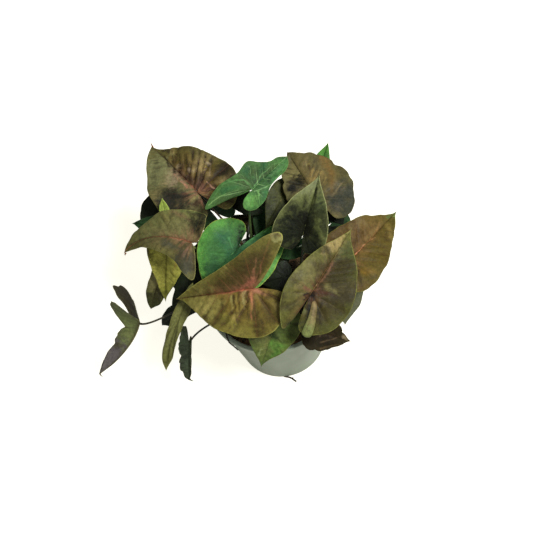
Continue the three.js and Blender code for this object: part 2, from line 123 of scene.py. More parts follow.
@dataclass(frozen=True)
class Seen:
    """The upper side of a blade as the main view shows it.

    pixels says where the view shows each of the places, which are in the blade's own
    unit, and size is that unit in millimetres.
    """

    pixels: np.ndarray
    places: np.ndarray
    size: float

    def place(self, pixel: np.ndarray) -> tuple[float, float]:
        """Gives the place on the blade that is seen nearest to a pixel."""
        nearest = np.linalg.norm(self.pixels - pixel, axis=1).argmin()
        x, y = self.places[nearest, :2]
        return round(float(x), 2), round(float(y), 2)


MAIN_VIEW = View()
WHOLE = Window()
AT_TOP = Window(left=185, top=150, zoom=8)
AT_BACK_LEFT = Window(left=140, top=130, zoom=7)
AT_BACK_RIGHT = Window(left=275, top=140, zoom=7)
AT_LEFT = Window(left=120, top=195, zoom=9)
AT_RIGHT = Window(left=335, top=200, zoom=7)
AT_FRONT = Window(left=185, top=225, zoom=7)
AT_FRONT_RIGHT = Window(left=275, top=225, zoom=7)
AT_LOW_FRONT = Window(left=235, top=318, zoom=7)


# ---------- node trees ----------


class Shade:
    """A material whose node tree is built call by call."""

    def __init__(self, name: str) -> None:
        """Starts the material with its shader and output.

        Args:
            name: What the material is called.
        """
        self.material = bpy.data.materials.new(name)
        self.material.use_nodes = True
        self.tree = self.material.node_tree
        self.tree.nodes.clear()
        self.shader = self.tree.nodes.new("ShaderNodeBsdfPrincipled")
        output = self.tree.nodes.new("ShaderNodeOutputMaterial")
        self.tree.links.new(self.shader.outputs[0], output.inputs["Surface"])
        self.coordinates = self.tree.nodes.new("ShaderNodeTexCoord").outputs["Object"]

    def put(self, socket: bpy.types.NodeSocket, value: object) -> None:
        """Links a socket into another, or sets a plain value on it."""
        if isinstance(value, bpy.types.NodeSocket):
            self.tree.links.new(value, socket)
        else:
            socket.default_value = value

    def node(self, kind: str, settings: dict[str, object], **values: object) -> bpy.types.Node:
        """Adds one node.

        Args:
            kind: The node's type without the prefix ShaderNode.
            settings: Its properties.
            **values: Its inputs by name, with underscores for spaces.

        Returns:
            The node.
        """
        made = self.tree.nodes.new("ShaderNode" + kind)
        for name, value in settings.items():
            setattr(made, name, value)
        for name, value in values.items():
            self.put(made.inputs[name.replace("_", " ")], value)
        return made

    def attribute(self, name: str) -> bpy.types.Node:
        """Reads a vertex attribute of the mesh."""
        return self.node("Attribute", {"attribute_name": name})

    def maths(self, operation: str, *values: object) -> bpy.types.NodeSocket:
        """Works out one sum.

        Args:
            operation: The name of the operation.
            *values: Its inputs in order, sockets or numbers.

        Returns:
            The result's socket.
        """
        made = self.node("Math", {"operation": operation})
        for socket, value in zip(made.inputs, values):
            self.put(socket, value)
        return made.outputs[0]

    def vector(self, operation: str, *values: object) -> bpy.types.Node:
        """Adds one step of vector arithmetic, of sockets or plain places."""
        made = self.node("VectorMath", {"operation": operation})
        for socket, value in zip(made.inputs, values):
            self.put(socket, value)
        return made

    def ramp(
        self, value: object, start: float, end: float, low: float = 0, high: float = 1
    ) -> bpy.types.NodeSocket:
        """Maps the range from start to end smoothly to that from low to high."""
        settings = {"interpolation_type": "SMOOTHSTEP"}
        names = {"Value": value, "From_Min": start, "From_Max": end, "To_Min": low, "To_Max": high}
        return self.node("MapRange", settings, **names).outputs["Result"]

    def mix(self, share: object, under: object, over: object, way: str = "MIX") -> bpy.types.NodeSocket:
        """Mixes two colours.

        Args:
            share: How much of the second colour shows.
            under: The first colour.
            over: The second colour.
            way: The blending mode.

        Returns:
            The mixed colour's socket.
        """
        made = self.node("Mix", {"data_type": "RGBA", "blend_type": way, "clamp_factor": True})
        self.put(made.inputs[0], share)
        self.put(made.inputs[6], under)
        self.put(made.inputs[7], over)
        return made.outputs[2]

    def clouds(self, scale: float, detail: float = 2, rough: float = 0.5) -> bpy.types.NodeSocket:
        """Gives soft noise over the object's coordinates, between 0 and 1."""
        values = {"Vector": self.coordinates, "Scale": scale, "Detail": detail, "Roughness": rough}
        return self.node("TexNoise", {}, **values).outputs[0]

    def cells(self, scale: float, feature: str = "DISTANCE_TO_EDGE") -> bpy.types.NodeSocket:
        """Gives a cell pattern over the object's coordinates."""
        made = self.node("TexVoronoi", {"feature": feature}, Vector=self.coordinates, Scale=scale)
        return made.outputs[0]

    def relief(self, height: bpy.types.NodeSocket, depth: float, strength: float = 1) -> None:
        """Adds a bump to the shader.

        Args:
            height: The pattern, between 0 and 1.
            depth: How high 1 stands, in metres.
            strength: How much of it shows.
        """
        made = self.node("Bump", {}, Height=height, Distance=depth, Strength=strength)
        self.put(self.shader.inputs["Normal"], made.outputs[0])

    def surface(self, colour: object, roughness: object, **more: object) -> bpy.types.Material:
        """Sets the shader's colour, roughness and other inputs.

        Args:
            colour: The base colour.
            roughness: The roughness.
            **more: Further inputs by name, with underscores for spaces.

        Returns:
            The finished material.
        """
        self.put(self.shader.inputs["Base Color"], colour)
        self.put(self.shader.inputs["Roughness"], roughness)
        for name, value in more.items():
            self.put(self.shader.inputs[name.replace("_", " ")], value)
        return self.material


# ---------- finishes ----------


@dataclass(frozen=True)
class Blotch:
    """A soft patch of colour on a blade, placed in the blade's own unit."""

    x: float
    y: float
    reach: float
    colour: str
    share: float = 0.8


@dataclass(frozen=True)
class Streak:
    """A vein or ridge of a blade, or painted shade in a crease, a gap or a cast shadow, drawn as a line that
    is strongest where it starts.
    """

    path: tuple[tuple[float, float], ...]
    width: float
    colour: str
    share: float = 0.8

    def laid(self, _seen: Seen) -> "Streak":
        """Gives the streak itself, as it is in the blade's own unit already."""
        return self

    def distance(self, shade: Shade, here: object) -> bpy.types.NodeSocket:
        """Measures how far a place lies from the path.

        Args:
            shade: The tree that is being built.
            here: The place on the blade.

        Returns:
            The distance's socket.
        """
        nearest = None
        fade = self.width / (len(self.path) - 1)
        for index, (start, end) in enumerate(zip(self.path, self.path[1:])):
            run = Vector((*end, 0.0)) - Vector((*start, 0.0))
            off = shade.vector("SUBTRACT", here, (*start, 0.0)).outputs[0]
            along = shade.vector("DOT_PRODUCT", off, tuple(run / run.length_squared)).outputs["Value"]
            share = shade.node("Clamp", {}, Value=along).outputs[0]
            ahead, aside = (shade.maths("MULTIPLY", share, part) for part in run[:2])
            foot = shade.node("CombineXYZ", {}, X=ahead, Y=aside).outputs[0]
            far = shade.vector("DISTANCE", off, foot).outputs["Value"]
            far = shade.maths("ADD", far, shade.maths("MULTIPLY_ADD", share, fade, fade * index))
            nearest = far if nearest is None else shade.maths("MINIMUM", nearest, far)
        return nearest


@dataclass(frozen=True)
class Mark:
    """A streak that was placed over a leaf in a window of the main view.

    Its points lie in the enlarged window, and its width is in pixels of the view. Dark
    marks are laid on fuller than they are written, and pale ones thinner.
    """

    window: Window
    points: tuple[tuple[float, float], ...]
    width: float
    colour: str
    share: float

    def laid(self, seen: Seen) -> Streak:
        """Lays the mark on a blade.

        Args:
            seen: The blade in the main view.

        Returns:
            The streak in the blade's own unit.
        """
        places = [seen.place(self.window.pixel(point)) for point in self.points]
        path = tuple(place for place, last in zip(places, [None, *places]) if place != last)
        tone = sum(int(self.colour[i : i + 2], 16) for i in (0, 2, 4)) / 3
        gain = DARK_GAIN if tone < DARK_BELOW else 1.0
        share = self.share * (PALE_GAIN if tone > PALE_ABOVE else gain)
        width = max(THINNEST, self.width * gain * PIXEL / seen.size)
        return Streak(path, round(width, 3), self.colour, round(min(1.0, share), 2))


@dataclass(frozen=True)
class Lamina:
    """The colours of one kind of leaf, as sRGB codes, and how they lie on the blade.

    left and right are the two sides of the midrib, tip the last third, outer the belt
    along the margin, deep the dark patches and the painted shade in the folds, light the
    painted highlight on the raised middle of the fields between side veins, and heart the
    part round the joint and along the midrib.
    """

    slot: str
    left: str
    right: str
    tip: str
    outer: str
    deep: str
    light: str
    heart: str
    midrib: str
    vein: str
    margin: str
    under: str
    stalk: str = "55522f"
    patches: float = 0.5  # share of the blade under the dark patches
    belt: float = 0.6  # strength of the outer colour
    glow: float = 0.6  # strength of the heart colour
    fields: float = 0.4  # strength of the painted highlight on the raised fields
    lines: float = 0.2  # strength of the side veins
    folds: float = 0.75  # strength of the painted shade in the folds
    speckle: float = 0.0  # light specks along the margin
    roughness: float = 0.5
    sheen: float = 0.1  # strength of the reflection
    blotches: tuple[Blotch, ...] = ()
    streaks: tuple[Streak | Mark, ...] = ()
    alike: bool = False  # whether the under side looks like the upper one

    def streaked(self, shade: Shade, colour: object, x: object, y: object) -> bpy.types.NodeSocket:
        """Lays the streaks over a colour.

        Args:
            shade: The tree that is being built.
            colour: The colour underneath.
            x: The place along the midrib.
            y: The place across it.

        Returns:
            The colour's socket.
        """
        sway = shade.maths("MULTIPLY", shade.maths("SUBTRACT", shade.clouds(90, 3, 0.6), 0.5), 0.09)
        ahead, aside = shade.maths("ADD", x, sway), shade.maths("SUBTRACT", y, sway)
        here = shade.node("CombineXYZ", {}, X=ahead, Y=aside).outputs[0]
        worn = shade.ramp(shade.clouds(190, 4, 0.65), 0.34, 0.58, 0.4, 1)
        for streak in self.streaks:
            rim, core = streak.width * 1.8, streak.width * 0.3
            band = shade.ramp(streak.distance(shade, here), rim, core, 0, streak.share)
            colour = shade.mix(shade.maths("MULTIPLY", band, worn), colour, tint(streak.colour))
        return colour

    def blotched(self, shade: Shade, colour: object, x: object, y: object) -> bpy.types.NodeSocket:
        """Lays the blotches over a colour.

        Args:
            shade: The tree that is being built.
            colour: The colour underneath.
            x: The place along the midrib.
            y: The place across it.

        Returns:
            The colour's socket.
        """
        here = shade.node("CombineXYZ", {}, X=x, Y=y).outputs[0]
        drift = shade.maths("MULTIPLY", shade.maths("SUBTRACT", shade.clouds(120, 5, 0.65), 0.5), 0.6)
        for blotch in self.blotches:
            far = shade.vector("DISTANCE", here, (blotch.x, blotch.y, 0.0)).outputs["Value"]
            off = shade.maths("ADD", far, drift)
            share = shade.ramp(off, blotch.reach, blotch.reach * 0.4, 0, blotch.share)
            colour = shade.mix(share, colour, tint(blotch.colour))
        return colour

    def patchwork(self, shade: Shade, base: object, streaks: object) -> bpy.types.NodeSocket:
        """Lays the dark patches, the painted shade in the folds and the painted highlight on the raised
        fields over a base colour.

        Args:
            shade: The tree that is being built.
            base: The colour underneath.
            streaks: Noise that is drawn out along the side veins.

        Returns:
            The colour's socket.
        """
        cloud = shade.clouds(42, 5, 0.6)
        cut = 0.36 + 0.28 * (1 - self.patches)
        dark = shade.maths("MULTIPLY", shade.ramp(cloud, cut, cut + 0.12), 0.8)
        colour = shade.mix(dark, base, tint(self.deep))
        # Painted shade: where the rise is low, in the folds, the colour darkens towards deep.
        rise = shade.attribute("rise").outputs["Fac"]
        ragged = shade.maths("ADD", rise, shade.maths("MULTIPLY", shade.maths("SUBTRACT", streaks, 0.5), 0.7))
        colour = shade.mix(shade.ramp(ragged, -0.02, -0.42, 0, self.folds), colour, tint(self.deep))
        # Painted highlight: where the rise is high, the fields lighten towards light.
        raised = shade.ramp(ragged, 0.0, 0.4)
        drift = shade.ramp(shade.clouds(75, 3), 0.36, 0.64, 0.25, 1)
        share = shade.maths("MULTIPLY", shade.maths("MULTIPLY", raised, drift), self.fields)
        return shade.mix(share, colour, tint(self.light))

    def upper(self, name: str) -> bpy.types.Material:
        """Makes the material of the upper side.

        Args:
            name: What the material is called.

        Returns:
            The material.
        """
        shade = Shade(name)
        place = shade.node("SeparateXYZ", {}, Vector=shade.attribute("blade").outputs["Vector"])
        x, y, rib = place.outputs
        edge = shade.attribute("edge").outputs["Fac"]
        aside = shade.maths("ABSOLUTE", y)
        sides = shade.mix(shade.ramp(y, -0.05, 0.05), tint(self.right), tint(self.left))
        base = shade.mix(shade.ramp(x, 0.5, 1.0, 0, 0.9), sides, tint(self.tip))
        wander = shade.maths("MULTIPLY", shade.maths("SUBTRACT", shade.clouds(55, 2), 0.5), 0.5)
        outward = shade.ramp(shade.maths("ADD", edge, wander), 0.5, 1.0, 0, self.belt)
        colour = self.blotched(shade, shade.mix(outward, base, tint(self.outer)), x, y)
        square = shade.maths("ADD", shade.maths("MULTIPLY", x, x), shade.maths("MULTIPLY", y, y))
        reach = shade.maths("SQRT", square)
        side = shade.ramp(y, -0.001, 0.001, 0, 9)
        along = {"X": shade.maths("MULTIPLY", rib, 3.2), "Y": shade.maths("MULTIPLY", reach, 4.0), "Z": side}
        drawn = shade.node("CombineXYZ", {}, **along).outputs[0]
        streaks = shade.node("TexNoise", {}, Vector=drawn, Scale=1.0, Detail=4.0, Roughness=0.6).outputs[0]
        colour = self.patchwork(shade, colour, streaks)
        belt = shade.maths("MULTIPLY", shade.ramp(aside, 0.13, 0.0), shade.ramp(x, 0.75, 0.1, 0, 0.9))
        near = shade.maths("MAXIMUM", shade.ramp(reach, 0.26, 0.02), belt)
        flush = shade.maths("MULTIPLY", near, shade.ramp(streaks, 0.4, 0.6, 0.1, 1))
        colour = shade.mix(shade.maths("MULTIPLY", flush, self.glow), colour, tint(self.heart))
        colour = self.streaked(shade, colour, x, y)
        net = shade.ramp(shade.cells(420), 0.0, 0.02, 0.22, 0)
        colour = shade.mix(net, colour, tint(self.vein))
        off = shade.maths("PINGPONG", rib, 0.5)
        faint = shade.ramp(shade.clouds(70, 2), 0.3, 0.65, 0.3, 1)
        thin = shade.ramp(off, 0.06, 0.01)
        veins = shade.maths("MULTIPLY", thin, shade.ramp(edge, 0.95, 0.4, 0.1, self.lines))
        colour = shade.mix(shade.maths("MULTIPLY", veins, faint), colour, tint(self.vein))
        width = shade.ramp(x, -0.1, 1.0, 0.017, 0.005)
        core = shade.ramp(shade.maths("DIVIDE", aside, width), 1.0, 0.5, 0, 0.85)
        fore = shade.maths("MULTIPLY", core, shade.ramp(x, -0.06, 0.0))
        colour = shade.mix(fore, colour, tint(self.midrib))
        fine = shade.clouds(700, 3, 0.6)
        rim = shade.ramp(shade.maths("ADD", edge, shade.maths("MULTIPLY", fine, 0.015)), 0.982, 0.998)
        worn = shade.ramp(shade.clouds(60, 3), 0.35, 0.62, 0.35, 0.85)
        colour = shade.mix(shade.maths("MULTIPLY", rim, worn), colour, tint(self.margin))
        if self.speckle:
            specks = shade.ramp(shade.cells(800, "F1"), 0.26, 0.14)
            ring = shade.maths("MULTIPLY", shade.ramp(edge, 0.62, 0.97), self.speckle)
            colour = shade.mix(shade.maths("MULTIPLY", specks, ring), colour, tint(self.margin))
        grit = shade.ramp(shade.clouds(330, 6, 0.75), 0.3, 0.7, 0.72, 1.3)
        colour = shade.node("HueSaturation", {}, Color=colour, Value=grit).outputs[0]
        grain = shade.maths("ADD", shade.maths("MULTIPLY", shade.ramp(shade.cells(330), 0, 0.05), 0.6), fine)
        shade.relief(grain, 0.00025, 0.5)
        matt = shade.ramp(shade.clouds(90, 2), 0.3, 0.7, self.roughness - 0.04, self.roughness + 0.12)
        return shade.surface(colour, matt, Specular_IOR_Level=self.sheen)

    def lower(self, name: str) -> bpy.types.Material:
        """Makes the material of the under side.

        Args:
            name: What the material is called.

        Returns:
            The material.
        """
        shade = Shade(name)
        place = shade.node("SeparateXYZ", {}, Vector=shade.attribute("blade").outputs["Vector"])
        x, y, rib = place.outputs
        stain = shade.ramp(shade.clouds(50, 3), 0.35, 0.7, 0, 0.5)
        colour = shade.mix(stain, tint(self.under), tint(self.deep))
        veins = shade.ramp(shade.maths("PINGPONG", rib, 0.5), 0.07, 0.02, 0, 0.5)
        colour = shade.mix(veins, colour, tint(self.vein))
        core = shade.ramp(shade.maths("ABSOLUTE", y), 0.03, 0.01, 0, 0.7)
        colour = shade.mix(core, colour, tint(self.midrib))
        shade.relief(shade.cells(330), 0.0002, 0.4)
        return shade.surface(colour, 0.55, Specular_IOR_Level=0.3)

    def petiole(self, name: str) -> bpy.types.Material:
        """Makes the material of the petiole.

        Args:
            name: What the material is called.

        Returns:
            The material.
        """
        shade = Shade(name)
        streaks = shade.ramp(shade.clouds(140, 3, 0.6), 0.3, 0.7)
        colour = shade.mix(streaks, tint(self.stalk), tint(self.deep))
        shade.relief(shade.clouds(900, 2), 0.0002, 0.4)
        return shade.surface(colour, 0.45, Specular_IOR_Level=0.35)


BRONZE = dict(slot="leaf_bronze", under="5c4a3c", stalk="4c3c26")
GREEN = dict(slot="leaf_green", under="6c8458", stalk="4c5a2c")


class Finish(Enum):
    """What each leaf looks like."""

    BACK_LEFT = Lamina(
        **BRONZE, left="595838", right="54461e", tip="4c431d", outer="50502a", deep="272118",
        light="8c7a4c", heart="8a5f4a", midrib="84513c", vein="7a5236", margin="6c6c38", patches=0.2,
        fields=0.7, folds=0.9,
        blotches=(
            Blotch(0.07, 0.32, 0.29, "1d1e17", 0.95), Blotch(-0.05, -0.44, 0.24, "282517", 0.85),
            Blotch(0.05, -0.12, 0.14, "3a2a22", 0.8), Blotch(0.26, -0.2, 0.12, "33281a", 0.7),
            Blotch(0.4, 0.1, 0.18, "84745a", 0.8), Blotch(0.3, -0.36, 0.16, "665c3a", 0.6),
            Blotch(0.62, 0.22, 0.32, "6a6c46", 0.85),
        ),
        streaks=(
            # Painted shade in the creases that spread from the joint: this mark and the next three.
            Mark(AT_BACK_LEFT, ((205, 260), (165, 175)), 1.3, "1c1810", 0.75),
            Mark(AT_BACK_LEFT, ((240, 300), (225, 150)), 1.6, "1a150c", 0.85),
            Mark(AT_BACK_LEFT, ((285, 310), (280, 160)), 2.4, "1c160c", 0.85),
            Mark(AT_BACK_LEFT, ((350, 290), (325, 170)), 2.2, "1e170d", 0.8),
            Mark(AT_BACK_LEFT, ((310, 280), (300, 170)), 1.3, "86744a", 0.7),
            Mark(AT_BACK_LEFT, ((365, 250), (345, 180)), 1.3, "7a6a42", 0.6),
            Mark(AT_BACK_LEFT, ((250, 280), (200, 180)), 1.2, "6e6238", 0.5),
            Mark(AT_BACK_LEFT, ((345, 275), (378, 288), (430, 210)), 1.5, "8e7e64", 0.7),
            Mark(AT_BACK_LEFT, ((470, 235), (490, 250), (490, 315)), 1.4, "94846a", 0.7),
            Mark(AT_BACK_LEFT, ((640, 330), (560, 300)), 5, "1c190f", 0.7),
            Mark(AT_BACK_LEFT, ((330, 400), (300, 370), (240, 310)), 0.9, "a8705a", 0.9),
            Mark(AT_BACK_LEFT, ((320, 380), (280, 320)), 1.3, "a87c64", 0.6),
            Mark(AT_BACK_LEFT, ((515, 410), (465, 375)), 1.2, "b48a72", 0.8),
            Mark(AT_BACK_LEFT, ((330, 330), (440, 400)), 4.5, "241a16", 0.75),
            Mark(AT_BACK_LEFT, ((420, 330), (560, 350)), 3.5, "241d14", 0.6),
            Mark(AT_BACK_LEFT, ((180, 450), (330, 480)), 6.5, "191a14", 0.8),
            Mark(AT_BACK_LEFT, ((365, 482), (420, 450), (500, 437)), 1.6, "7c7446", 0.9),
            Mark(AT_BACK_LEFT, ((400, 510), (500, 470)), 3, "34241a", 0.8),
            Mark(AT_BACK_LEFT, ((430, 500), (450, 540)), 1.2, "a8765c", 0.8),
        ),
    )
    LEFT = Lamina(
        **BRONZE, left="565030", right="62603a", tip="4b4624", outer="585a2c", deep="3c3922",
        light="75693c", heart="7c5642", midrib="8a5638", vein="6e5c38", margin="8e8c50", patches=0.35,
        belt=0.5, glow=0.6,
        blotches=(
            Blotch(-0.05, -0.3, 0.22, "1f2014", 0.9), Blotch(-0.03, 0.24, 0.24, "34352a", 0.85),
            Blotch(0.5, -0.12, 0.25, "5e6238", 0.5),
        ),
        streaks=(
            Mark(AT_LEFT, ((420, 120), (600, 95), (760, 150)), 3, "60683a", 0.6),
            Mark(AT_LEFT, ((500, 160), (640, 240)), 3, "66503a", 0.6),
            Mark(AT_LEFT, ((350, 330), (250, 320)), 4, "4c4c2c", 0.5),
            Mark(AT_LEFT, ((610, 412), (550, 400), (490, 350)), 1, "a8745c", 0.85),
            Mark(AT_LEFT, ((550, 405), (380, 380)), 1, "9c6c54", 0.8),
            Mark(AT_LEFT, ((620, 410), (560, 440)), 1, "94644e", 0.6),
            Mark(AT_LEFT, ((560, 380), (620, 410)), 2.5, "7e5442", 0.6),
            Mark(AT_LEFT, ((400, 430), (560, 520)), 3.4, "3c3e30", 0.7),
            # A painted shadow over the leaf's right end, under the leaf above.
            Mark(AT_LEFT, ((700, 250), (720, 400)), 4.5, "14160c", 0.85),
            Mark(AT_LEFT, ((480, 170), (420, 300)), 1.2, "3a3a22", 0.6),
            Mark(AT_LEFT, ((620, 160), (680, 260)), 1.2, "3c3e22", 0.6),
        ),
    )
    FRONT = Lamina(
        **BRONZE, left="685a26", right="3e3518", tip="5c5426", outer="62602a", deep="352c16",
        light="92844a", heart="704634", midrib="98523a", vein="844c34", margin="8e8c44", patches=0.45,
        glow=0.8, fields=0.75, lines=0.25, folds=0.8,
        blotches=(
            Blotch(0.12, -0.3, 0.22, "3c3418", 0.6), Blotch(-0.2, 0.26, 0.2, "40361a", 0.6),
            Blotch(0.62, 0.15, 0.3, "76723c", 0.6), Blotch(-0.42, -0.56, 0.13, "807e4e", 0.7),
        ),
        streaks=(
            Streak(((0.0, 0.01), (0.4, 0.0), (0.8, 0.0)), 0.022, "a8644a", 0.6),
            Streak(((0.0, 0.0), (0.85, 0.0)), 0.012, "3c1c10", 0.8),
            Mark(AT_FRONT, ((465, 440), (465, 660)), 1.6, "b06a50", 0.8),
            Mark(AT_FRONT, ((490, 455), (560, 490)), 2.4, "bc7e66", 0.75),
            Mark(AT_FRONT, ((470, 395), (420, 430), (345, 470)), 3, "8c5240", 0.6),
            Mark(AT_FRONT, ((470, 370), (490, 290), (500, 230)), 1.2, "a06a50", 0.6),
            Mark(AT_FRONT, ((520, 330), (540, 250)), 1.2, "95644a", 0.5),
            # Painted shade in the creases: this mark and the next four.
            Mark(AT_FRONT, ((255, 520), (262, 660)), 1.6, "2c2610", 0.7),
            Mark(AT_FRONT, ((343, 500), (350, 640)), 1.4, "2e2610", 0.75),
            Mark(AT_FRONT, ((383, 480), (372, 640)), 1.6, "30260f", 0.7),
            Mark(AT_FRONT, ((440, 470), (436, 640)), 1.6, "2e220f", 0.7),
            Mark(AT_FRONT, ((540, 470), (545, 560)), 1.4, "2c2010", 0.6),
            Mark(AT_FRONT, ((322, 500), (325, 600)), 1.6, "9a9258", 0.6),
            Mark(AT_FRONT, ((415, 470), (418, 590)), 1.8, "a29a64", 0.6),
            Mark(AT_FRONT, ((495, 500), (500, 620)), 1.8, "8a7c44", 0.5),
            Mark(AT_FRONT, ((280, 650), (400, 740), (520, 730)), 4, "6e6a2c", 0.5),
            Mark(AT_FRONT, ((440, 300), (490, 220)), 2.6, "3a2a16", 0.5),
        ),
    )
    FRONT_RIGHT = Lamina(
        **BRONZE, left="524e28", right="332d10", tip="666230", outer="4a4e20", deep="2c2710",
        light="605a2c", heart="523524", midrib="7a5f3c", vein="6a5c34", margin="7c7d40", glow=0.75,
        blotches=(
            Blotch(3.5, 0.9, 1.6, "66703f", 1.0), Blotch(3.5, 0.0, 0.8, "84604a", 0.6),
            Blotch(-0.05, 0.0, 0.06, "140e08", 0.95), Blotch(0.25, -0.3, 0.32, "28220a", 0.75),
            Blotch(0.2, 0.28, 0.25, "6a663c", 0.5), Blotch(0.72, 0.14, 0.26, "8c7c4e", 0.85),
            Blotch(0.7, -0.18, 0.24, "3c4222", 0.85),
        ),
        streaks=(
            Mark(AT_FRONT_RIGHT, ((515, 30), (400, 260)), 0.9, "8c7e50", 0.8),
            Mark(AT_FRONT_RIGHT, ((400, 260), (375, 335), (270, 465)), 1.2, "70503a", 0.7),
            Mark(AT_FRONT_RIGHT, ((290, 460), (420, 500)), 2.2, "3a2014", 0.75),
            Mark(AT_FRONT_RIGHT, ((290, 290), (375, 285)), 4, "342c14", 0.6),
            Mark(AT_FRONT_RIGHT, ((120, 380), (250, 330)), 4, "3c3619", 0.5),
            Mark(AT_FRONT_RIGHT, ((365, 435), (450, 490)), 2.6, "6e683c", 0.6),
            Mark(AT_FRONT_RIGHT, ((440, 380), (560, 330)), 5, "2c2c12", 0.55),
            Mark(AT_FRONT_RIGHT, ((210, 440), (260, 465), (320, 440)), 1.5, "704a38", 0.6),
            Mark(AT_FRONT_RIGHT, ((160, 430), (190, 400)), 2.5, "7c6c40", 0.45),
            # Painted shade: the black hole over the rolled strip.
            Mark(AT_FRONT_RIGHT, ((255, 485), (262, 525)), 2.6, "040302", 1),
            # Painted shade: the black gap between the lobes, left of the strip.
            Mark(AT_FRONT_RIGHT, ((245, 560), (215, 700), (180, 720)), 2.2, "0c0d08", 0.85),
            Mark(AT_FRONT_RIGHT, ((110, 700), (200, 680)), 3, "1c2016", 0.8),
            Mark(AT_FRONT_RIGHT, ((200, 600), (150, 660)), 2.6, "6c7046", 0.7),
            # A painted shadow along the right of the rolled strip.
            Mark(AT_FRONT_RIGHT, ((315, 560), (310, 740)), 1.8, "1c180c", 0.75),
            Streak(((3.12, 0.1), (3.1, 0.95)), 0.03, "5a5430", 0.8),
            Streak(((3.3, 0.1), (3.32, 0.95)), 0.03, "5a5430", 0.8),
            Streak(((3.48, 0.1), (3.5, 0.95)), 0.03, "5a5430", 0.8),
            Streak(((3.66, 0.1), (3.68, 0.95)), 0.03, "5a5430", 0.8),
            Streak(((3.84, 0.1), (3.86, 0.95)), 0.03, "5a5430", 0.8),
        ),
    )
    RIGHT = Lamina(
        **BRONZE, left="5a4828", right="493f16", tip="46461f", outer="50461b", deep="3c2c10",
        light="605126", heart="704c2e", midrib="b47452", vein="7c5c30", margin="76743a", patches=0.3,
        blotches=(
            Blotch(0.2, 0.4, 0.22, "40300f", 0.75), Blotch(1.0, 0.0, 0.16, "5c7038", 0.95),
            Blotch(-0.1, -0.35, 0.25, "423b10", 0.6),
        ),
        streaks=(
            Mark(AT_FRONT_RIGHT, ((565, 205), (620, 140), (700, 88)), 1, "bc8a68", 1),
            Mark(AT_RIGHT, ((215, 300), (275, 215), (330, 160)), 4, "6c5c34", 0.55),
            Mark(AT_BACK_RIGHT, ((675, 690), (700, 640), (745, 560)), 1.4, "8a6438", 0.6),
            Mark(AT_RIGHT, ((190, 370), (235, 360)), 2.6, "84683a", 0.5),
            Mark(AT_RIGHT, ((150, 130), (240, 190)), 3, "6a5c3c", 0.5),
            Mark(AT_RIGHT, ((370, 170), (400, 330)), 3, "7a6a34", 0.5),
            Mark(AT_RIGHT, ((200, 290), (330, 300)), 1.4, "4a3a1c", 0.6),
            Mark(AT_BACK_RIGHT, ((440, 600), (560, 560)), 2.4, "3c2a16", 0.7),
            # Painted shade in a fold.
            Mark(AT_BACK_RIGHT, ((560, 560), (545, 690)), 2, "3e2a14", 0.5),
            Mark(AT_FRONT_RIGHT, ((640, 330), (700, 330)), 4, "6e5418", 0.6),
            Mark(AT_FRONT_RIGHT, ((600, 440), (700, 400)), 4, "503e14", 0.5),
            Mark(AT_BACK_RIGHT, ((800, 540), (855, 495)), 1.8, "4c5c30", 0.8),
            Mark(AT_FRONT_RIGHT, ((590, 330), (600, 450)), 2, "2c220f", 0.7),
        ),
    )
    BACK_RIGHT = Lamina(
        **BRONZE, left="68623c", right="544b2a", tip="5a4f2e", outer="4c4c2c", deep="36341f",
        light="64583a", heart="62542e", midrib="72603a", vein="6a5a34", margin="55522e",
        blotches=(
            # The first blotch is a painted shadow, cast by the folded leaf.
            Blotch(0.36, 0.1, 0.22, "0c0f08", 0.97), Blotch(-0.25, -0.48, 0.46, "262a1f", 0.92),
            Blotch(0.32, -0.2, 0.22, "786638", 0.7),
        ),
        streaks=(
            # A painted shadow: the black band cast by the folded leaf.
            Mark(AT_BACK_RIGHT, ((110, 345), (165, 300), (215, 262)), 3.6, "090b07", 1),
            Mark(AT_BACK_RIGHT, ((330, 100), (400, 230), (395, 380)), 5, "6e5026", 0.6),
            Mark(AT_BACK_RIGHT, ((400, 395), (480, 290)), 1.2, "7e6e4c", 0.7),
            Mark(AT_BACK_RIGHT, ((420, 430), (520, 380)), 6.5, "24281e", 0.85),
            Mark(AT_BACK_RIGHT, ((240, 180), (245, 260)), 1.2, "33240f", 0.7),
            Mark(AT_BACK_RIGHT, ((190, 150), (200, 210)), 1.2, "7c7048", 0.6),
            Mark(AT_BACK_RIGHT, ((220, 150), (222, 210)), 1, "86784e", 0.6),
            Mark(AT_BACK_RIGHT, ((100, 110), (110, 180)), 1.4, "6c6e58", 0.6),
            Mark(AT_BACK_RIGHT, ((280, 110), (290, 260)), 2.5, "403a26", 0.6),
            Mark(AT_BACK_RIGHT, ((450, 180), (500, 300)), 2.2, "3a3520", 0.6),
        ),
    )
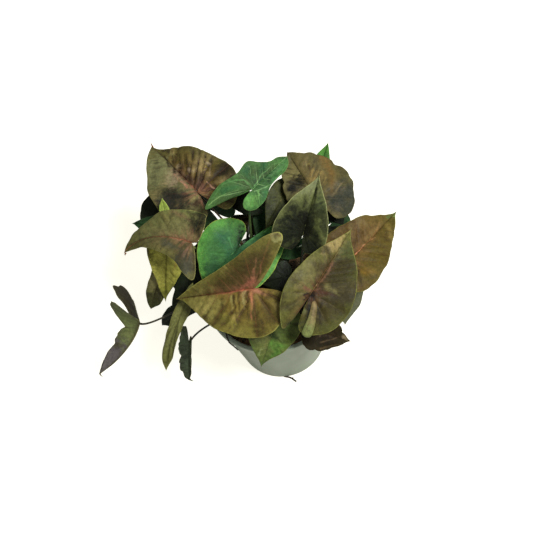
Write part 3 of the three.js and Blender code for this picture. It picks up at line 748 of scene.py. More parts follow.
    FOLDED = Lamina(
        slot="leaf_olive", left="50552f", right="50562f", tip="5e623a", outer="6c7044", deep="1c2013",
        # heart: painted shade inside the fold, near black.
        light="4c532f", heart="16180d", midrib="4c5030", vein="52583a", margin="888c58", under="464c2e",
        patches=0.45, stalk="3c3e20", glow=1.0,
        blotches=(
            Blotch(0.78, 0.12, 0.24, "6e724c", 0.8), Blotch(0.5, -0.24, 0.2, "465030", 0.8),
            # Painted shade inside the fold: these three near-black blotches.
            Blotch(0.08, 0.05, 0.42, "0b0d08", 0.97), Blotch(-0.35, 0.36, 0.5, "0d110b", 0.95),
            Blotch(-0.35, -0.3, 0.48, "12170f", 0.95),
        ),
        streaks=(
            # Painted shade inside the fold: this mark and the next four.
            Mark(AT_BACK_RIGHT, ((215, 640), (200, 500), (215, 390)), 4, "090a06", 0.95),
            Mark(WHOLE, ((283, 222), (291, 243)), 5, "0f140c", 0.85),
            Mark(WHOLE, ((296, 248), (292, 232)), 5, "0c1009", 0.9),
            Mark(WHOLE, ((312, 252), (316, 232)), 5, "10150d", 0.85),
            Mark(AT_BACK_RIGHT, ((120, 480), (150, 640)), 6, "12150e", 0.8),
            Mark(AT_BACK_RIGHT, ((300, 290), (200, 360), (130, 410)), 3.2, "656a4a", 0.75),
            Mark(AT_BACK_RIGHT, ((250, 340), (230, 470)), 1.6, "5c5f40", 0.7),
            Mark(AT_BACK_RIGHT, ((330, 290), (350, 460), (350, 560)), 2.2, "4e5230", 0.7),
            Mark(AT_BACK_RIGHT, ((290, 340), (270, 520)), 1.6, "1c1f12", 0.8),
            Mark(AT_BACK_RIGHT, ((322, 270), (358, 420), (385, 630)), 0.7, "8c8e60", 0.8),
        ),
    )
    TOP_GREEN = Lamina(
        **GREEN, left="374826", right="3a5e32", tip="36602a", outer="3f6a32", deep="223a20",
        light="4a763e", heart="335528", midrib="7c9c62", vein="7c9c62", margin="749656", patches=0.4,
        lines=0.7, folds=0.5,
        blotches=(
            Blotch(-0.3, 0.3, 0.3, "34582e", 0.5), Blotch(-0.28, -0.16, 0.17, "5a8644", 0.8),
        ),
        streaks=(
            Mark(AT_TOP, ((560, 300), (600, 250), (690, 180), (810, 90)), 1, "1c4424", 0.8),
            Mark(AT_TOP, ((560, 330), (600, 318), (690, 275), (760, 190), (825, 110)), 0.6, "84ac70", 0.7),
            Mark(AT_TOP, ((560, 285), (600, 215), (700, 120), (810, 70)), 0.6, "6c9c5c", 0.7),
            Mark(AT_TOP, ((540, 305), (470, 240), (400, 240), (300, 275), (215, 390)), 0.9, "5c9050", 0.7),
            Mark(AT_TOP, ((490, 160), (540, 260)), 4, "20482a", 0.7),
            Mark(AT_TOP, ((640, 110), (600, 190)), 3, "264f2e", 0.6),
            Mark(AT_TOP, ((500, 370), (540, 450)), 4, "548c40", 0.7),
            Mark(AT_TOP, ((590, 330), (600, 430)), 0.9, "7cae60", 0.75),
            Mark(AT_TOP, ((640, 340), (640, 420)), 2.4, "28552f", 0.75),
            Mark(AT_TOP, ((300, 330), (440, 280)), 2.5, "2a5530", 0.7),
            Mark(AT_TOP, ((190, 440), (290, 365), (430, 320)), 0.5, "88a868", 0.8),
            Mark(AT_TOP, ((700, 250), (760, 150)), 1.6, "3a7040", 0.6),
        ),
    )
    ROUND_GREEN = Lamina(
        **GREEN, left="396434", right="386232", tip="33582a", outer="508638", deep="2c5030",
        light="447240", heart="2c5636", midrib="548046", vein="4a7840", margin="a0b050", patches=0.35,
        speckle=0.5, fields=0.3, folds=0.3, belt=0.8,
        blotches=(
            Blotch(0.0, 0.12, 0.36, "234a2b", 0.8), Blotch(0.7, 0.05, 0.3, "2a4420", 0.7),
        ),
        streaks=(
            # Painted shade: a black gap between leaves, drawn on this one.
            Mark(AT_TOP, ((455, 640), (430, 730), (400, 820)), 4.6, "040805", 1),
            Mark(AT_TOP, ((390, 590), (430, 560), (470, 600)), 1.2, "64a050", 0.6),
            Mark(AT_TOP, ((300, 700), (340, 830)), 6, "26543a", 0.6),
            Mark(AT_TOP, ((350, 700), (380, 800)), 1, "4c8450", 0.6),
            Mark(AT_TOP, ((440, 860), (560, 740), (730, 610)), 3, "1c4a30", 0.8),
            Mark(AT_TOP, ((480, 740), (560, 680), (720, 610)), 1, "4c8450", 0.8),
            Mark(AT_TOP, ((150, 700), (180, 640), (260, 590)), 3, "4f8e3c", 0.6),
            Mark(AT_TOP, ((100, 760), (90, 840)), 2, "68a848", 0.6),
            Mark(AT_FRONT, ((150, 300), (300, 300)), 4, "1c3c20", 0.6),
            Mark(AT_FRONT, ((130, 380), (180, 350)), 4, "1c3414", 0.7),
        ),
    )
    BACK_TIP = Lamina(
        **GREEN, left="386224", right="284a1c", tip="3f6e2a", outer="48782e", deep="2c5022",
        light="4f8038", heart="3c6829", midrib="6c9448", vein="5c883e", margin="7ca44c", patches=0.2,
    )
    LOW_FRONT = Lamina(
        **GREEN, left="4e5c2c", right="5a5e32", tip="4c6030", outer="4f5c2a", deep="31361c",
        light="666c3c", heart="54502a", midrib="6c6c3c", vein="64663a", margin="7c7e40", patches=0.4,
        blotches=(
            Blotch(0.4, 0.3, 0.25, "5a6a2e", 0.6),
        ),
        streaks=(
            Mark(AT_LOW_FRONT, ((270, 185), (360, 205)), 4.5, "527a32", 0.85),
            Mark(AT_LOW_FRONT, ((300, 240), (230, 290)), 3.5, "4c7430", 0.7),
            Mark(AT_LOW_FRONT, ((130, 150), (200, 170)), 5, "6c7248", 0.7),
            Mark(AT_LOW_FRONT, ((250, 110), (340, 170)), 3.2, "2a361c", 0.85),
            Mark(AT_LOW_FRONT, ((170, 260), (178, 222), (215, 212)), 1, "8c9a68", 0.6),
            Mark(AT_LOW_FRONT, ((170, 330), (135, 250)), 3, "3f5424", 0.7),
            Mark(AT_LOW_FRONT, ((80, 150), (140, 290)), 1.6, "567a38", 0.6),
        ),
    )
    HANGING_OLIVE = Lamina(
        slot="leaf_olive", left="aeac4e", right="bebc56", tip="96963e", outer="7e8032", deep="5e5e28",
        light="bcb956", heart="47461f", midrib="8c8644", vein="7c7a38", margin="8c8c44", under="5c5e2c",
        patches=0.35, glow=0.8,
        blotches=(
            Blotch(0.5, -0.06, 0.3, "c6c25c", 0.85),
        ),
        streaks=(
            Mark(AT_LEFT, ((330, 560), (400, 700)), 3, "b4ae50", 0.6),
            # A painted shadow across the top, cast by the leaf above.
            Mark(AT_LEFT, ((300, 450), (480, 480)), 3, "38391a", 0.7),
            Mark(AT_LEFT, ((250, 500), (300, 640)), 1.4, "34341a", 0.6),
            Mark(AT_LEFT, ((520, 600), (470, 700)), 1.4, "9a7c3c", 0.7),
        ),
    )
    TONGUE = Lamina(
        slot="leaf_olive", left="64663a", right="6e7040", tip="50522a", outer="5a5a2c", deep="404020",
        light="80804a", heart="5c5b30", midrib="72703e", vein="68663a", margin="7c7c46", under="565a30",
        patches=0.35,
    )
    OLIVE = Lamina(
        slot="leaf_olive", left="363a1e", right="3a3e20", tip="34381e", outer="3a3e20", deep="1e2114",
        light="46482a", heart="44421f", midrib="646038", vein="5a5830", margin="6a6a3c", under="464822",
    )
    HANGING_BROWN = Lamina(
        slot="leaf_brown", left="807a4c", right="8a8454", tip="6c8a34", outer="56582e", deep="2a2718",
        light="686240", heart="3e3422", midrib="52422a", vein="463a24", margin="5c5a2c", under="3c3424",
        stalk="2c2416",
    )
    TRAILING_LEFT = Lamina(
        slot="leaf_brown", left="687243", right="463e28", tip="524c4c", outer="4e4c34", deep="423e2a",
        light="7c864e", heart="5c5e3a", midrib="5e5a36", vein="4c4a30", margin="2c281a", under="403624",
        stalk="1c1c12", patches=0.3, alike=True,
        blotches=(
            Blotch(0.75, 0.12, 0.42, "544e4e", 0.95), Blotch(0.3, 0.04, 0.09, "74784a", 0.8),
        ),
    )
    BROWN = Lamina(
        slot="leaf_brown", sheen=0.06, left="1e190c", right="201b0d", tip="2e2a14", outer="282411",
        deep="17130a", light="2c2613", heart="40301c", midrib="5c4228", vein="483822", margin="5c562e",
        under="3c3022",
        streaks=(
            Mark(AT_LOW_FRONT, ((590, 120), (690, 60)), 1, "5c4c34", 0.6),
            Mark(AT_LOW_FRONT, ((600, 170), (735, 130)), 1, "5c4c34", 0.6),
            Mark(AT_LOW_FRONT, ((600, 215), (760, 190)), 1, "54452e", 0.6),
            Mark(AT_LOW_FRONT, ((765, 135), (800, 165)), 2, "8a7c60", 0.8),
        ),
    )
    # Leaves deep inside the plant, near black: partly their own dark green, partly painted shade.
    DARK = Lamina(
        slot="leaf_dark", sheen=0.1, left="1b2114", right="1d2316", tip="192012", outer="1c2313",
        deep="0a0d08", light="212a19", heart="171c12", midrib="303a24", vein="262f1c", margin="323b22",
        under="262c1c", stalk="26271a", roughness=0.5,
    )
    TRAILING_DARK = Lamina(
        slot="leaf_dark", left="3c442f", right="424c39", tip="2a3222", outer="3e442e", deep="20271b",
        light="48543e", heart="262e20", midrib="3a442f", vein="353f2a", margin="582f22", under="333828",
        stalk="3c3820",
    )
    DEEP_GREEN = Lamina(
        slot="leaf_deep_green", left="20381c", right="243e20", tip="264222", outer="2c4624",
        deep="121f12", light="33522a", heart="1b2f1a", midrib="3e5c30", vein="325028", margin="426030",
        under="304428", stalk="354020",
    )
    PALE = Lamina(
        slot="leaf_pale", left="565840", right="5e6046", tip="626848", outer="585c42", deep="4c5038",
        light="70725a", heart="66684a", midrib="868864", vein="80825c", margin="8c8e68", under="6c6e52",
        patches=0.4, roughness=0.6,
    )
    YOUNG = Lamina(
        slot="leaf_pale", left="8ea04c", right="8c9c48", tip="84983f", outer="86983f", deep="64782e",
        light="a4b45c", heart="7c8c40", midrib="a8b468", vein="98a856", margin="a8b864", under="84944a",
        patches=0.2,
    )


# ---------- skins and tubes ----------


def skin(
    bm: bmesh.types.BMesh, cells: tuple[int, int], place: Place, slot: int, back: int = -1
) -> list[bmesh.types.BMVert]:
    """Adds a closed skin to a mesh: a grid whose corners are moved and whose seams are merged.

    Args:
        bm: The mesh.
        cells: How many cells the grid has each way.
        place: Turns grid places, 0 to 1 each way, into points in millimetres.
        slot: The material slot of its faces.
        back: The slot of the faces past the middle of the second way, or -1 for the same.

    Returns:
        The new vertices, in the order in which their places were worked out.
    """
    made = bmesh.ops.create_grid(bm, x_segments=cells[0], y_segments=cells[1], size=0.5)["verts"]
    flat = np.array([v.co[:2] for v in made]) + 0.5
    for face in {f for v in made for f in v.link_faces}:
        face.smooth = True
        face.material_index = back if back >= 0 and face.calc_center_median().y > 0 else slot
    for vertex, point in zip(made, place(flat[:, 0], flat[:, 1]) * MM):
        vertex.co = point
    return made


def settle(bm: bmesh.types.BMesh, name: str, materials: list[bpy.types.Material]) -> bpy.types.Object:
    """Merges the seams, turns the faces outwards and makes the object.

    Args:
        bm: The mesh, which is used up.
        name: The object's name.
        materials: Its materials in the order of their slots.

    Returns:
        The object.
    """
    bmesh.ops.remove_doubles(bm, verts=bm.verts[:], dist=2e-6)
    bmesh.ops.recalc_face_normals(bm, faces=bm.faces[:])
    mesh = bpy.data.meshes.new(name)
    bm.to_mesh(mesh)
    bm.free()
    for material in materials:
        mesh.materials.append(material)
    made = bpy.data.objects.new(name, mesh)
    bpy.context.scene.collection.objects.link(made)
    LOG.info("%s: %d faces", name, len(mesh.polygons))
    return made


def tube(path: Points, radii: np.ndarray) -> Place:
    """Gives the places of a round tube along a path, closed at both ends.

    Args:
        path: The points of its middle line.
        radii: Its radius at each of them.

    Returns:
        The function that places a grid on it.
    """
    ahead = unit(np.gradient(path, axis=0))
    start = np.cross(ahead[0], (0.31, 0.87, 0.38))
    sides = [unit(start)]
    for direction in ahead[1:]:
        last = sides[-1]
        sides.append(unit(last - direction * (last @ direction)))
    side = np.array(sides)
    up = np.cross(ahead, side)

    def place(u: np.ndarray, v: np.ndarray) -> Points:
        """Puts grid places on the tube; the first and last rows close its ends."""
        at = np.clip((v * 1.04 - 0.02), 0, 1) * (len(path) - 1)
        low = np.minimum(at.astype(int), len(path) - 2)
        share = (at - low)[:, None]
        angle = u[:, None] * math.tau
        closed = ((v > 0.001) & (v < 0.999))[:, None]

        def lay(row: np.ndarray) -> np.ndarray:
            """Reads a row of values at each place along the path."""
            return row[low] * (1 - share) + row[low + 1] * share

        radius = lay(radii[:, None]) * closed
        return lay(path) + radius * (np.cos(angle) * lay(side) + np.sin(angle) * lay(up))

    return place


# ---------- leaves ----------


class Outline(Enum):
    """Half of a blade's outline, from the tip round a lobe to the joint with the petiole."""

    HEART = ((1, 0), (0.9, 0.08), (0.74, 0.32), (0.5, 0.68), (0.22, 0.93), (-0.06, 1), (-0.32, 0.86),
             (-0.5, 0.56), (-0.54, 0.28), (-0.38, 0.12), (0, 0))
    ROUND = ((1, 0), (0.92, 0.14), (0.76, 0.48), (0.5, 0.84), (0.18, 1), (-0.16, 0.96), (-0.42, 0.74),
             (-0.56, 0.44), (-0.48, 0.2), (-0.28, 0.1), (0, 0))
    WING = ((1, 0), (0.8, 0.16), (0.5, 0.38), (0.16, 0.62), (-0.14, 0.9), (-0.36, 1), (-0.4, 0.84),
            (-0.24, 0.4), (-0.1, 0.12), (0, 0))
    HORNED = ((1, 0), (0.82, 0.24), (0.64, 0.32), (0.46, 0.6), (0.33, 0.88), (0.2, 0.92), (-0.04, 0.84),
              (-0.5, 1), (-0.82, 0.92), (-1.06, 0.74), (-0.82, 0.54), (-0.54, 0.37), (-0.26, 0.16), (0, 0))
    BLUNT = ((1, 0), (0.92, 0.34), (0.76, 0.56), (0.52, 0.56), (0.28, 0.62), (0, 0.96), (-0.24, 1),
             (-0.4, 0.76), (-0.44, 0.36), (-0.3, 0.08), (0, 0))
    FORK = ((1, 0), (0.89, 0.26), (0.64, 0.34), (0.38, 0.44), (0.21, 0.49), (0.09, 0.85), (-0.05, 1),
            (-0.09, 0.81), (-0.09, 0.49), (-0.05, 0.14), (0, 0))
    PRONG = ((1, 0), (0.89, 0.16), (0.64, 0.22), (0.37, 0.26), (0.18, 0.5), (0.13, 0.92), (0, 1),
             (-0.13, 0.74), (-0.11, 0.28), (-0.04, 0.08), (0, 0))
    CLOSED = ((1, 0), (0.9, 0.08), (0.74, 0.32), (0.5, 0.68), (0.22, 0.93), (-0.06, 1), (-0.3, 0.82),
              (-0.48, 0.46), (-0.58, 0.14), (-0.36, 0.03), (0, 0))
    TONGUE = ((1, 0), (0.92, 0.28), (0.78, 0.72), (0.56, 0.96), (0.32, 0.86), (0.1, 1), (-0.1, 0.9),
              (-0.24, 0.5), (-0.16, 0.2), (0, 0))

    def spaced(self, lobe: float, width: float, count: int) -> np.ndarray:
        """Gives points at equal steps along the smooth curve through the outline's points.

        Args:
            lobe: Stretch of the part behind the joint.
            width: Half width of the blade on this side, negative for the right side.
            count: Number of steps.

        Returns:
            count + 1 rows of x and y.
        """
        points = np.array([(x * lobe if x < 0 else x, y * width) for x, y in self.value])
        ends = np.vstack([points[:1], points, points[-1:]])
        t = np.linspace(0, len(points) - 1, 401)
        low = np.minimum(t.astype(int), len(points) - 2)
        s = (t - low)[:, None]
        p0, p1, p2, p3 = (ends[low + i] for i in range(4))
        v0, v1 = (p2 - p0) / 2, (p3 - p1) / 2
        curve = ((2 * p1 - 2 * p2 + v0 + v1) * s + (3 * p2 - 3 * p1 - 2 * v0 - v1)) * s * s + v0 * s + p1
        run = np.concatenate([[0], np.cumsum(np.linalg.norm(np.diff(curve, axis=0), axis=1))])
        at = np.linspace(0, run[-1], count + 1)
        return np.stack([np.interp(at, run, curve[:, 0]), np.interp(at, run, curve[:, 1])], axis=1)


def arc(s: np.ndarray, turn: float, length: float, start: float = 0) -> tuple[np.ndarray, np.ndarray]:
    """Follows an even curve.

    Args:
        s: Distances along it.
        turn: How far it turns over `length`, in radians.
        length: Distance over which it turns so.
        start: Its first direction.

    Returns:
        How far it goes ahead and aside.
    """
    rate = turn / length
    if abs(rate) < 1e-6:
        return s * math.cos(start), s * math.sin(start)
    end = start + rate * s
    return (np.sin(end) - math.sin(start)) / rate, (math.cos(start) - np.cos(end)) / rate


def basis(forward: np.ndarray, up: np.ndarray) -> np.ndarray:
    """Gives the axes, as columns, with x along `forward` and z nearest to `up`."""
    x = unit(forward)
    y = unit(np.cross(up, x))
    return np.stack([x, y, np.cross(x, y)], axis=1)


@dataclass(frozen=True)
class Curl:
    """A stretch of blade that is rolled up, from one place of the blade's own unit to another."""

    start: tuple[float, float]
    end: tuple[float, float]
    radius: float  # in millimetres
    bow: float = 0.0  # how far its middle swings aside


@dataclass(frozen=True)
class Stem:
    """A short stem in the potting mix."""

    name: str
    at: tuple[float, float]
    top: float
    radius: float = 4.0
    bury: float = 22.0
    crown: float = 3.0
    bow: float = 0.06  # keeps the round skin inside the six-sided one
    cells: tuple[int, int] = (36, 110)
    rings: tuple[float, ...] = (0.2, 0.36, 0.5, 0.63, 0.76, 0.88)  # leaf scars, as shares of the height

    def reach(self, bearing: np.ndarray) -> np.ndarray:
        """Gives the stem's radius in a direction, in millimetres."""
        step = math.pi / 3
        off = np.mod(bearing + math.pi / 2 + step / 2, step) - step / 2
        return self.radius * np.cos(off)

    def build(self, foot: float) -> bpy.types.Object:
        """Models the stem with its leaf scars.

        Args:
            foot: Height of the surface of the potting mix.

        Returns:
            The object.
        """
        low = foot - self.bury

        def place(u: np.ndarray, v: np.ndarray) -> Points:
            """Puts grid places on the stem, closed at both ends."""
            rise = np.clip((v - 0.01) / 0.98, 0, 1)
            z = low + rise * (self.top - low)
            inner = ((v > 0.005) & (v < 0.995)).astype(float)
            above = (z - foot) / (self.top - foot)
            scar = sum(np.exp(-(((above - ring) / 0.018) ** 2)) for ring in self.rings)
            taper = 1 - 0.5 * smooth(z, self.top - self.crown, self.top) ** 2
            grain = 0.12 * (1 + np.sin(z * 1.7 + u * math.tau * 2)) + 0.1 * (1 + np.sin(u * math.tau * 9))
            waist = 0.5 * (1 - scar).clip(0, 1)
            radius = (self.reach(u * math.tau) - self.bow - grain - waist) * taper * inner
            x = self.at[0] + radius * np.cos(u * math.tau)
            y = self.at[1] + radius * np.sin(u * math.tau)
            return np.stack([x, y, z], axis=1)

        bm = bmesh.new()
        skin(bm, self.cells, place, 0)
        made = settle(bm, self.name, [self.bark()])
        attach(made, "root")
        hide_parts(self.name)
        return made

    @staticmethod
    def bark() -> bpy.types.Material:
        """Makes the stems' skin, green with brown papery patches."""
        known = bpy.data.materials.get("stem_skin")
        if known:
            return known
        shade = Shade("stem_skin")
        brown = shade.ramp(shade.clouds(110, 4, 0.6), 0.42, 0.62)
        colour = shade.mix(brown, tint("56602f"), tint("6a5436"))
        colour = shade.mix(shade.ramp(shade.clouds(420, 2), 0.5, 0.75, 0, 0.6), colour, tint("8a8258"))
        shade.relief(shade.clouds(600, 3), 0.0004, 0.6)
        return shade.surface(colour, 0.55)


@dataclass(frozen=True)
class Leaf:
    """A leaf with its petiole.

    Its blade starts at the joint and its unit is the midrib's length. half is the half
    width, which halves and lobes change for the left and the right side. Angles are in
    degrees: fold raises each side, arch bends it on its way out, curl bends the midrib
    down, lobe_drop bends the lobes down, and sweep bends the midrib sideways.
    """

    name: str
    joint: tuple[float, float, float]
    tip: tuple[float, float, float]
    face: tuple[float, float, float]
    finish: Finish
    stem: str
    rises_from: float
    shape: tuple[Outline, Outline] = (Outline.HEART, Outline.HEART)
    half: float = 0.56
    halves: tuple[float, float] = (1, 1)
    lobes: tuple[float, float] = (1, 1)
    fold: float = 8
    arch: float = -14
    curl: float = 22
    lobe_drop: float = 14
    sweep: float = 0
    wave: float = 0.02
    waves: int = 5
    knee: tuple[float, float] = (0.22, 0.16)
    leave: float | None = None
    thickness: float = 0.8
    centre: float = 0.12
    petiole: float = 1.5
    rib_spacing: float = 0.125
    pleat: float = 0.022
    ribbing: tuple[float, float] = (0.6, 0.6)  # strength of the folds, left and right
    ruffle: float = 0.009
    nick: float = 0.012  # depth of the nicks in the margin
    cells: tuple[int, int] = (144, 52)
    steps: tuple[int, int] = (720, 160)  # fineness with which a pixel's place is looked up
    curls: tuple[Curl, ...] = ()
    drip: tuple[float, float, float] | None = None  # how far the tip draws out, in millimetres
    roll_cells: tuple[int, int] = (14, 40)
    drip_cells: tuple[int, int] = (8, 16)
    stalk_cells: tuple[int, int] = (12, 40)

    @property
    def margin(self) -> np.ndarray:
        """The outline from the joint past the right side, the tip and the left side."""
        steps = self.cells[0] // 2
        left = self.shape[0].spaced(self.lobes[0], self.halves[0] * self.half, steps)
        right = self.shape[1].spaced(self.lobes[1], -self.halves[1] * self.half, steps)
        return np.vstack([right[::-1], left[1:]])

    def bend(self, x: np.ndarray, y: np.ndarray, lift: np.ndarray) -> Points:
        """Bends flat places into the blade's form.

        Args:
            x: Places along the midrib.
            y: Places across it.
            lift: Height above the bent blade.

        Returns:
            Points in the blade's own unit.
        """
        turn = np.radians(np.where(x < 0, self.lobe_drop, self.curl))
        end = turn * np.abs(x)
        safe = np.where(turn < 0, -1, 1) * np.maximum(np.abs(turn), 1e-6)
        forward, drop = np.sin(end) / safe, (1 - np.cos(end)) / safe
        soft = np.sqrt(y * y + 1e-4) - 1e-2
        across, rise = arc(soft, math.radians(self.arch), self.half, math.radians(self.fold))
        height = rise + lift
        slope = turn * x
        ahead = np.sign(x) * forward + height * np.sin(slope)
        aside = np.sign(y) * across
        up = height * np.cos(slope) - drop
        sweep = math.radians(self.sweep)
        onward, sideways = arc(x, sweep, 1)
        swung = x > 0
        turned = sweep * x
        ahead = np.where(swung, ahead - x + onward - aside * np.sin(turned), ahead)
        aside = np.where(swung, sideways + aside * np.cos(turned), aside)
        return np.stack([ahead, aside, up], axis=1)

    def ribs(self, x: np.ndarray, y: np.ndarray) -> np.ndarray:
        """Counts the side veins from the joint, whole at each vein."""
        out = np.abs(y)
        start = x - 0.62 * out - 0.5 * out * out
        ahead = start / self.rib_spacing + 0.35 * np.sin(7.1 * start + self.seed)
        behind = -(np.arctan2(out, x) - math.atan2(1, 0.62)) / math.radians(30)
        return np.where(x > 0.62 * out, ahead, behind)

    @property
    def seed(self) -> float:
        """A number of the leaf's own, from its name."""
        return sum(ord(c) for c in self.name) * 0.37

    def pleats(self, x: np.ndarray, y: np.ndarray, edge: np.ndarray) -> np.ndarray:
        """Gives the fields between the side veins, the midrib's groove and the creases, about -1 to 1."""
        rib = self.ribs(x, y)
        off = np.abs(y)
        between = np.sin(np.abs(rib - np.round(rib)) * math.pi) ** 0.7 - 0.55
        uneven = 0.75 + 0.3 * np.sin(1.9 * rib + self.seed)
        uneven = uneven + 0.3 * np.sin(8.1 * off + 0.9 * rib + 2 * self.seed)
        ribbing = np.where(y > 0, *self.ribbing)
        fields = between * uneven * smooth(off, 0.0, 0.16)
        groove = -0.45 * np.exp(-((off / 0.02) ** 2))
        chance = np.random.default_rng(int(self.seed * 10))
        creases = np.zeros_like(x)
        for wave in (4.0, 7.0, 11.0, 16.0, 23.0):
            way, phase = chance.uniform(0, math.tau, 2)
            along = wave * (x * math.cos(way) + y * math.sin(way))
            bend = np.sin(along + phase + 0.7 * np.sin(6 * y + phase))
            creases += (1 - 2 * np.abs(bend)) * 4 / wave
        creases = creases / 2 * smooth(off, 0, 0.12)
        worn = 1 - 0.6 * smooth(edge, 0.8, 1.0)
        return (ribbing * fields + groove + (0.35 + 0.1 * ribbing) * creases) * worn

    def relief(self, x: np.ndarray, y: np.ndarray, edge: np.ndarray, around: np.ndarray) -> np.ndarray:
        """Gives the height of waves, pleats and ruffles over the bent blade."""
        ruffle = np.sin(math.tau * 9 * around + self.seed) * 0.6
        ruffle = ruffle + np.sin(math.tau * 14 * around + 2 * self.seed) * 0.4
        tip = 1 - smooth(np.abs(x), 0.75, 1.0)
        lift = self.wave * edge**2 * np.sin(math.tau * self.waves * around)
        return lift + tip * (self.pleat * self.pleats(x, y, edge) + self.ruffle * edge**2 * ruffle)

    def form(self, x: np.ndarray, y: np.ndarray, edge: np.ndarray, around: np.ndarray) -> Points:
        """Gives the blade's middle surface in its own unit."""
        return self.bend(x, y, self.relief(x, y, edge, around))

    def frame(self) -> tuple[np.ndarray, np.ndarray, float]:
        """Gives the blade's turn, its joint and its unit in millimetres."""
        reach = np.subtract(self.tip, self.joint).astype(float)
        chord = self.bend(np.array([1.0]), np.array([0.0]), np.array([0.0]))[0]
        turn = basis(reach, np.array(self.face, float)) @ basis(chord, np.array((0.0, 0.0, 1.0))).T
        return turn, np.array(self.joint, float), float(np.linalg.norm(reach) / np.linalg.norm(chord))

    def blade(self, u: np.ndarray, v: np.ndarray) -> tuple[Points, np.ndarray, np.ndarray]:
        """Places the blade's skin: out along the upper side and back along the under side.

        Args:
            u: Places round the blade, 0 to 1.
            v: Places from the middle out to the margin, at 0.5, and back.

        Returns:
            Points in millimetres, rows of x, y and vein count, and the nearness to the margin.
        """
        edge = 1 - np.abs(2 * v - 1) ** 1.35
        side = np.sign(0.5 - v)
        margin = self.margin
        at = u * (len(margin) - 1)
        rim = np.stack([np.interp(at, np.arange(len(margin)), margin[:, k]) for k in (0, 1)], axis=1)
        notch = np.abs(np.sin(math.tau * 4.5 * u + self.seed)) ** 9
        notch = notch + 0.6 * np.abs(np.sin(math.tau * 7.5 * u + 3 * self.seed)) ** 9
        whole = smooth(np.abs(rim[:, 1]), 0.0, 0.2)
        out = edge * (1 - self.nick * notch * whole * edge**3)
        x = self.centre + (rim[:, 0] - self.centre) * out
        y = rim[:, 1] * out
        step = 0.004
        run = self.form(x + step, y, edge, u) - self.form(x - step, y, edge, u)
        across = self.form(x, y + step, edge, u) - self.form(x, y - step, edge, u)
        normal = unit(np.cross(run, across))
        turn, joint, size = self.frame()
        depth = self.thickness / 2 * np.sqrt(np.clip(1 - smooth(edge, 0.97, 1.0), 0, 1))
        depth = depth + np.where(side < 0, 0.45 * np.exp(-((y * size / 1.1) ** 2)) * smooth(x, 1.0, 0.6), 0)
        local = self.form(x, y, edge, u) * size + normal * (depth * side)[:, None]
        return local @ turn.T + joint, np.stack([x, y, self.ribs(x, y)], axis=1), edge

    def seen(self) -> Seen:
        """Gives the blade's upper side as the main view shows it."""
        around, outward = self.steps
        u, v = np.meshgrid(np.linspace(0, 1, around + 1), np.linspace(0, 0.5, outward + 1))
        points, places, _ = self.blade(u.ravel(), v.ravel())
        return Seen(MAIN_VIEW.project(points), places, self.frame()[2])

    def stalk(self, stem: Stem) -> Place:
        """Gives the petiole's tube from the stem to the blade.

        Args:
            stem: The stem that it grows from.

        Returns:
            The function that places a grid on it.
        """
        turn, joint, size = self.frame()
        ahead, up = turn[:, 0], turn[:, 2]
        aim = math.atan2(joint[1] - stem.at[1], joint[0] - stem.at[0])
        bearing = aim if self.leave is None else math.radians(self.leave)
        heading = np.array([math.cos(bearing), math.sin(bearing), 0.0])
        reach = float(stem.reach(np.array(bearing))) + GAP + self.petiole
        start = np.array([*stem.at, self.rises_from]) + heading * reach
        span = float(np.linalg.norm(joint - start))
        low = start + heading * 0.06 * span + np.array([0, 0, 0.4 * span])
        below, behind = self.knee
        sunk = self.petiole * abs(behind) / math.hypot(below, behind) - self.thickness / 4
        seat = joint + ahead * 0.05 * size - up * sunk
        high = seat - up * below * span - ahead * behind * span
        t = np.linspace(0, 1, 49)[:, None]
        path = (1 - t) ** 3 * start + 3 * (1 - t) ** 2 * t * low + 3 * (1 - t) * t * t * high + t**3 * seat
        radii = self.petiole * (0.97 - 0.36 * smooth(t[:, 0], 0.05, 0.6) + 0.12 * smooth(t[:, 0], 0.9, 1.0))
        return tube(path, radii)

    def rolled(self, curl: Curl, placed: dict[str, np.ndarray]) -> Place:
        """Gives a roll of blade that lies on the upper side.

        Args:
            curl: Where it lies.
            placed: Where its own coordinates go: ROLL and up round it, and 0 to 1 along it.

        Returns:
            The function that places a grid on it.
        """
        t = np.linspace(0, 1, 33)
        swing = curl.bow * np.sin(math.pi * t)
        x = curl.start[0] + (curl.end[0] - curl.start[0]) * t - swing * np.sign(curl.end[1] - curl.start[1])
        y = curl.start[1] + (curl.end[1] - curl.start[1]) * t + swing * np.sign(curl.end[0] - curl.start[0])
        turn, joint, size = self.frame()
        flat = self.bend(x, y, np.zeros(33)) * size
        radii = curl.radius * (0.4 + 0.6 * t) * np.sqrt(np.clip(1 - (2 * t - 1) ** 8, 0.02, 1))
        tubing = tube(flat, radii)

        def place(u: np.ndarray, v: np.ndarray) -> Points:
            """Places the flattened roll and keeps its own coordinates."""
            placed["blade"] = np.stack([ROLL + u, v, 8 + 0 * u], axis=1)
            placed["edge"] = 0.9 + 0 * u
            points = tubing(u, v)
            level = np.interp(v, t, flat[:, 2])
            points[:, 2] = level + 0.45 * (points[:, 2] - level)
            return points @ turn.T + joint

        return place

    def drawn_out(self) -> Place:
        """Gives the thin end that the tip draws out into."""
        t = np.linspace(0, 1, 13)[:, None]
        tip, back = np.array(self.tip, float), np.array(self.joint, float) - np.array(self.tip, float)
        start = tip + unit(back) * 3
        end = tip + np.array(self.drip)
        path = (1 - t) ** 2 * start + 2 * t * (1 - t) * (tip + np.array(self.drip) * 0.25) + t * t * end
        return tube(path, (0.85 - 0.6 * t[:, 0]) * (1 - 0.5 * np.exp(-((t[:, 0] / 0.1) ** 2))))

    @staticmethod
    def layers(bm: bmesh.types.BMesh) -> tuple[object, object, object]:
        """Adds the vertex layers that the materials read."""
        floats = bm.verts.layers.float
        return bm.verts.layers.float_vector.new("blade"), floats.new("edge"), floats.new("rise")

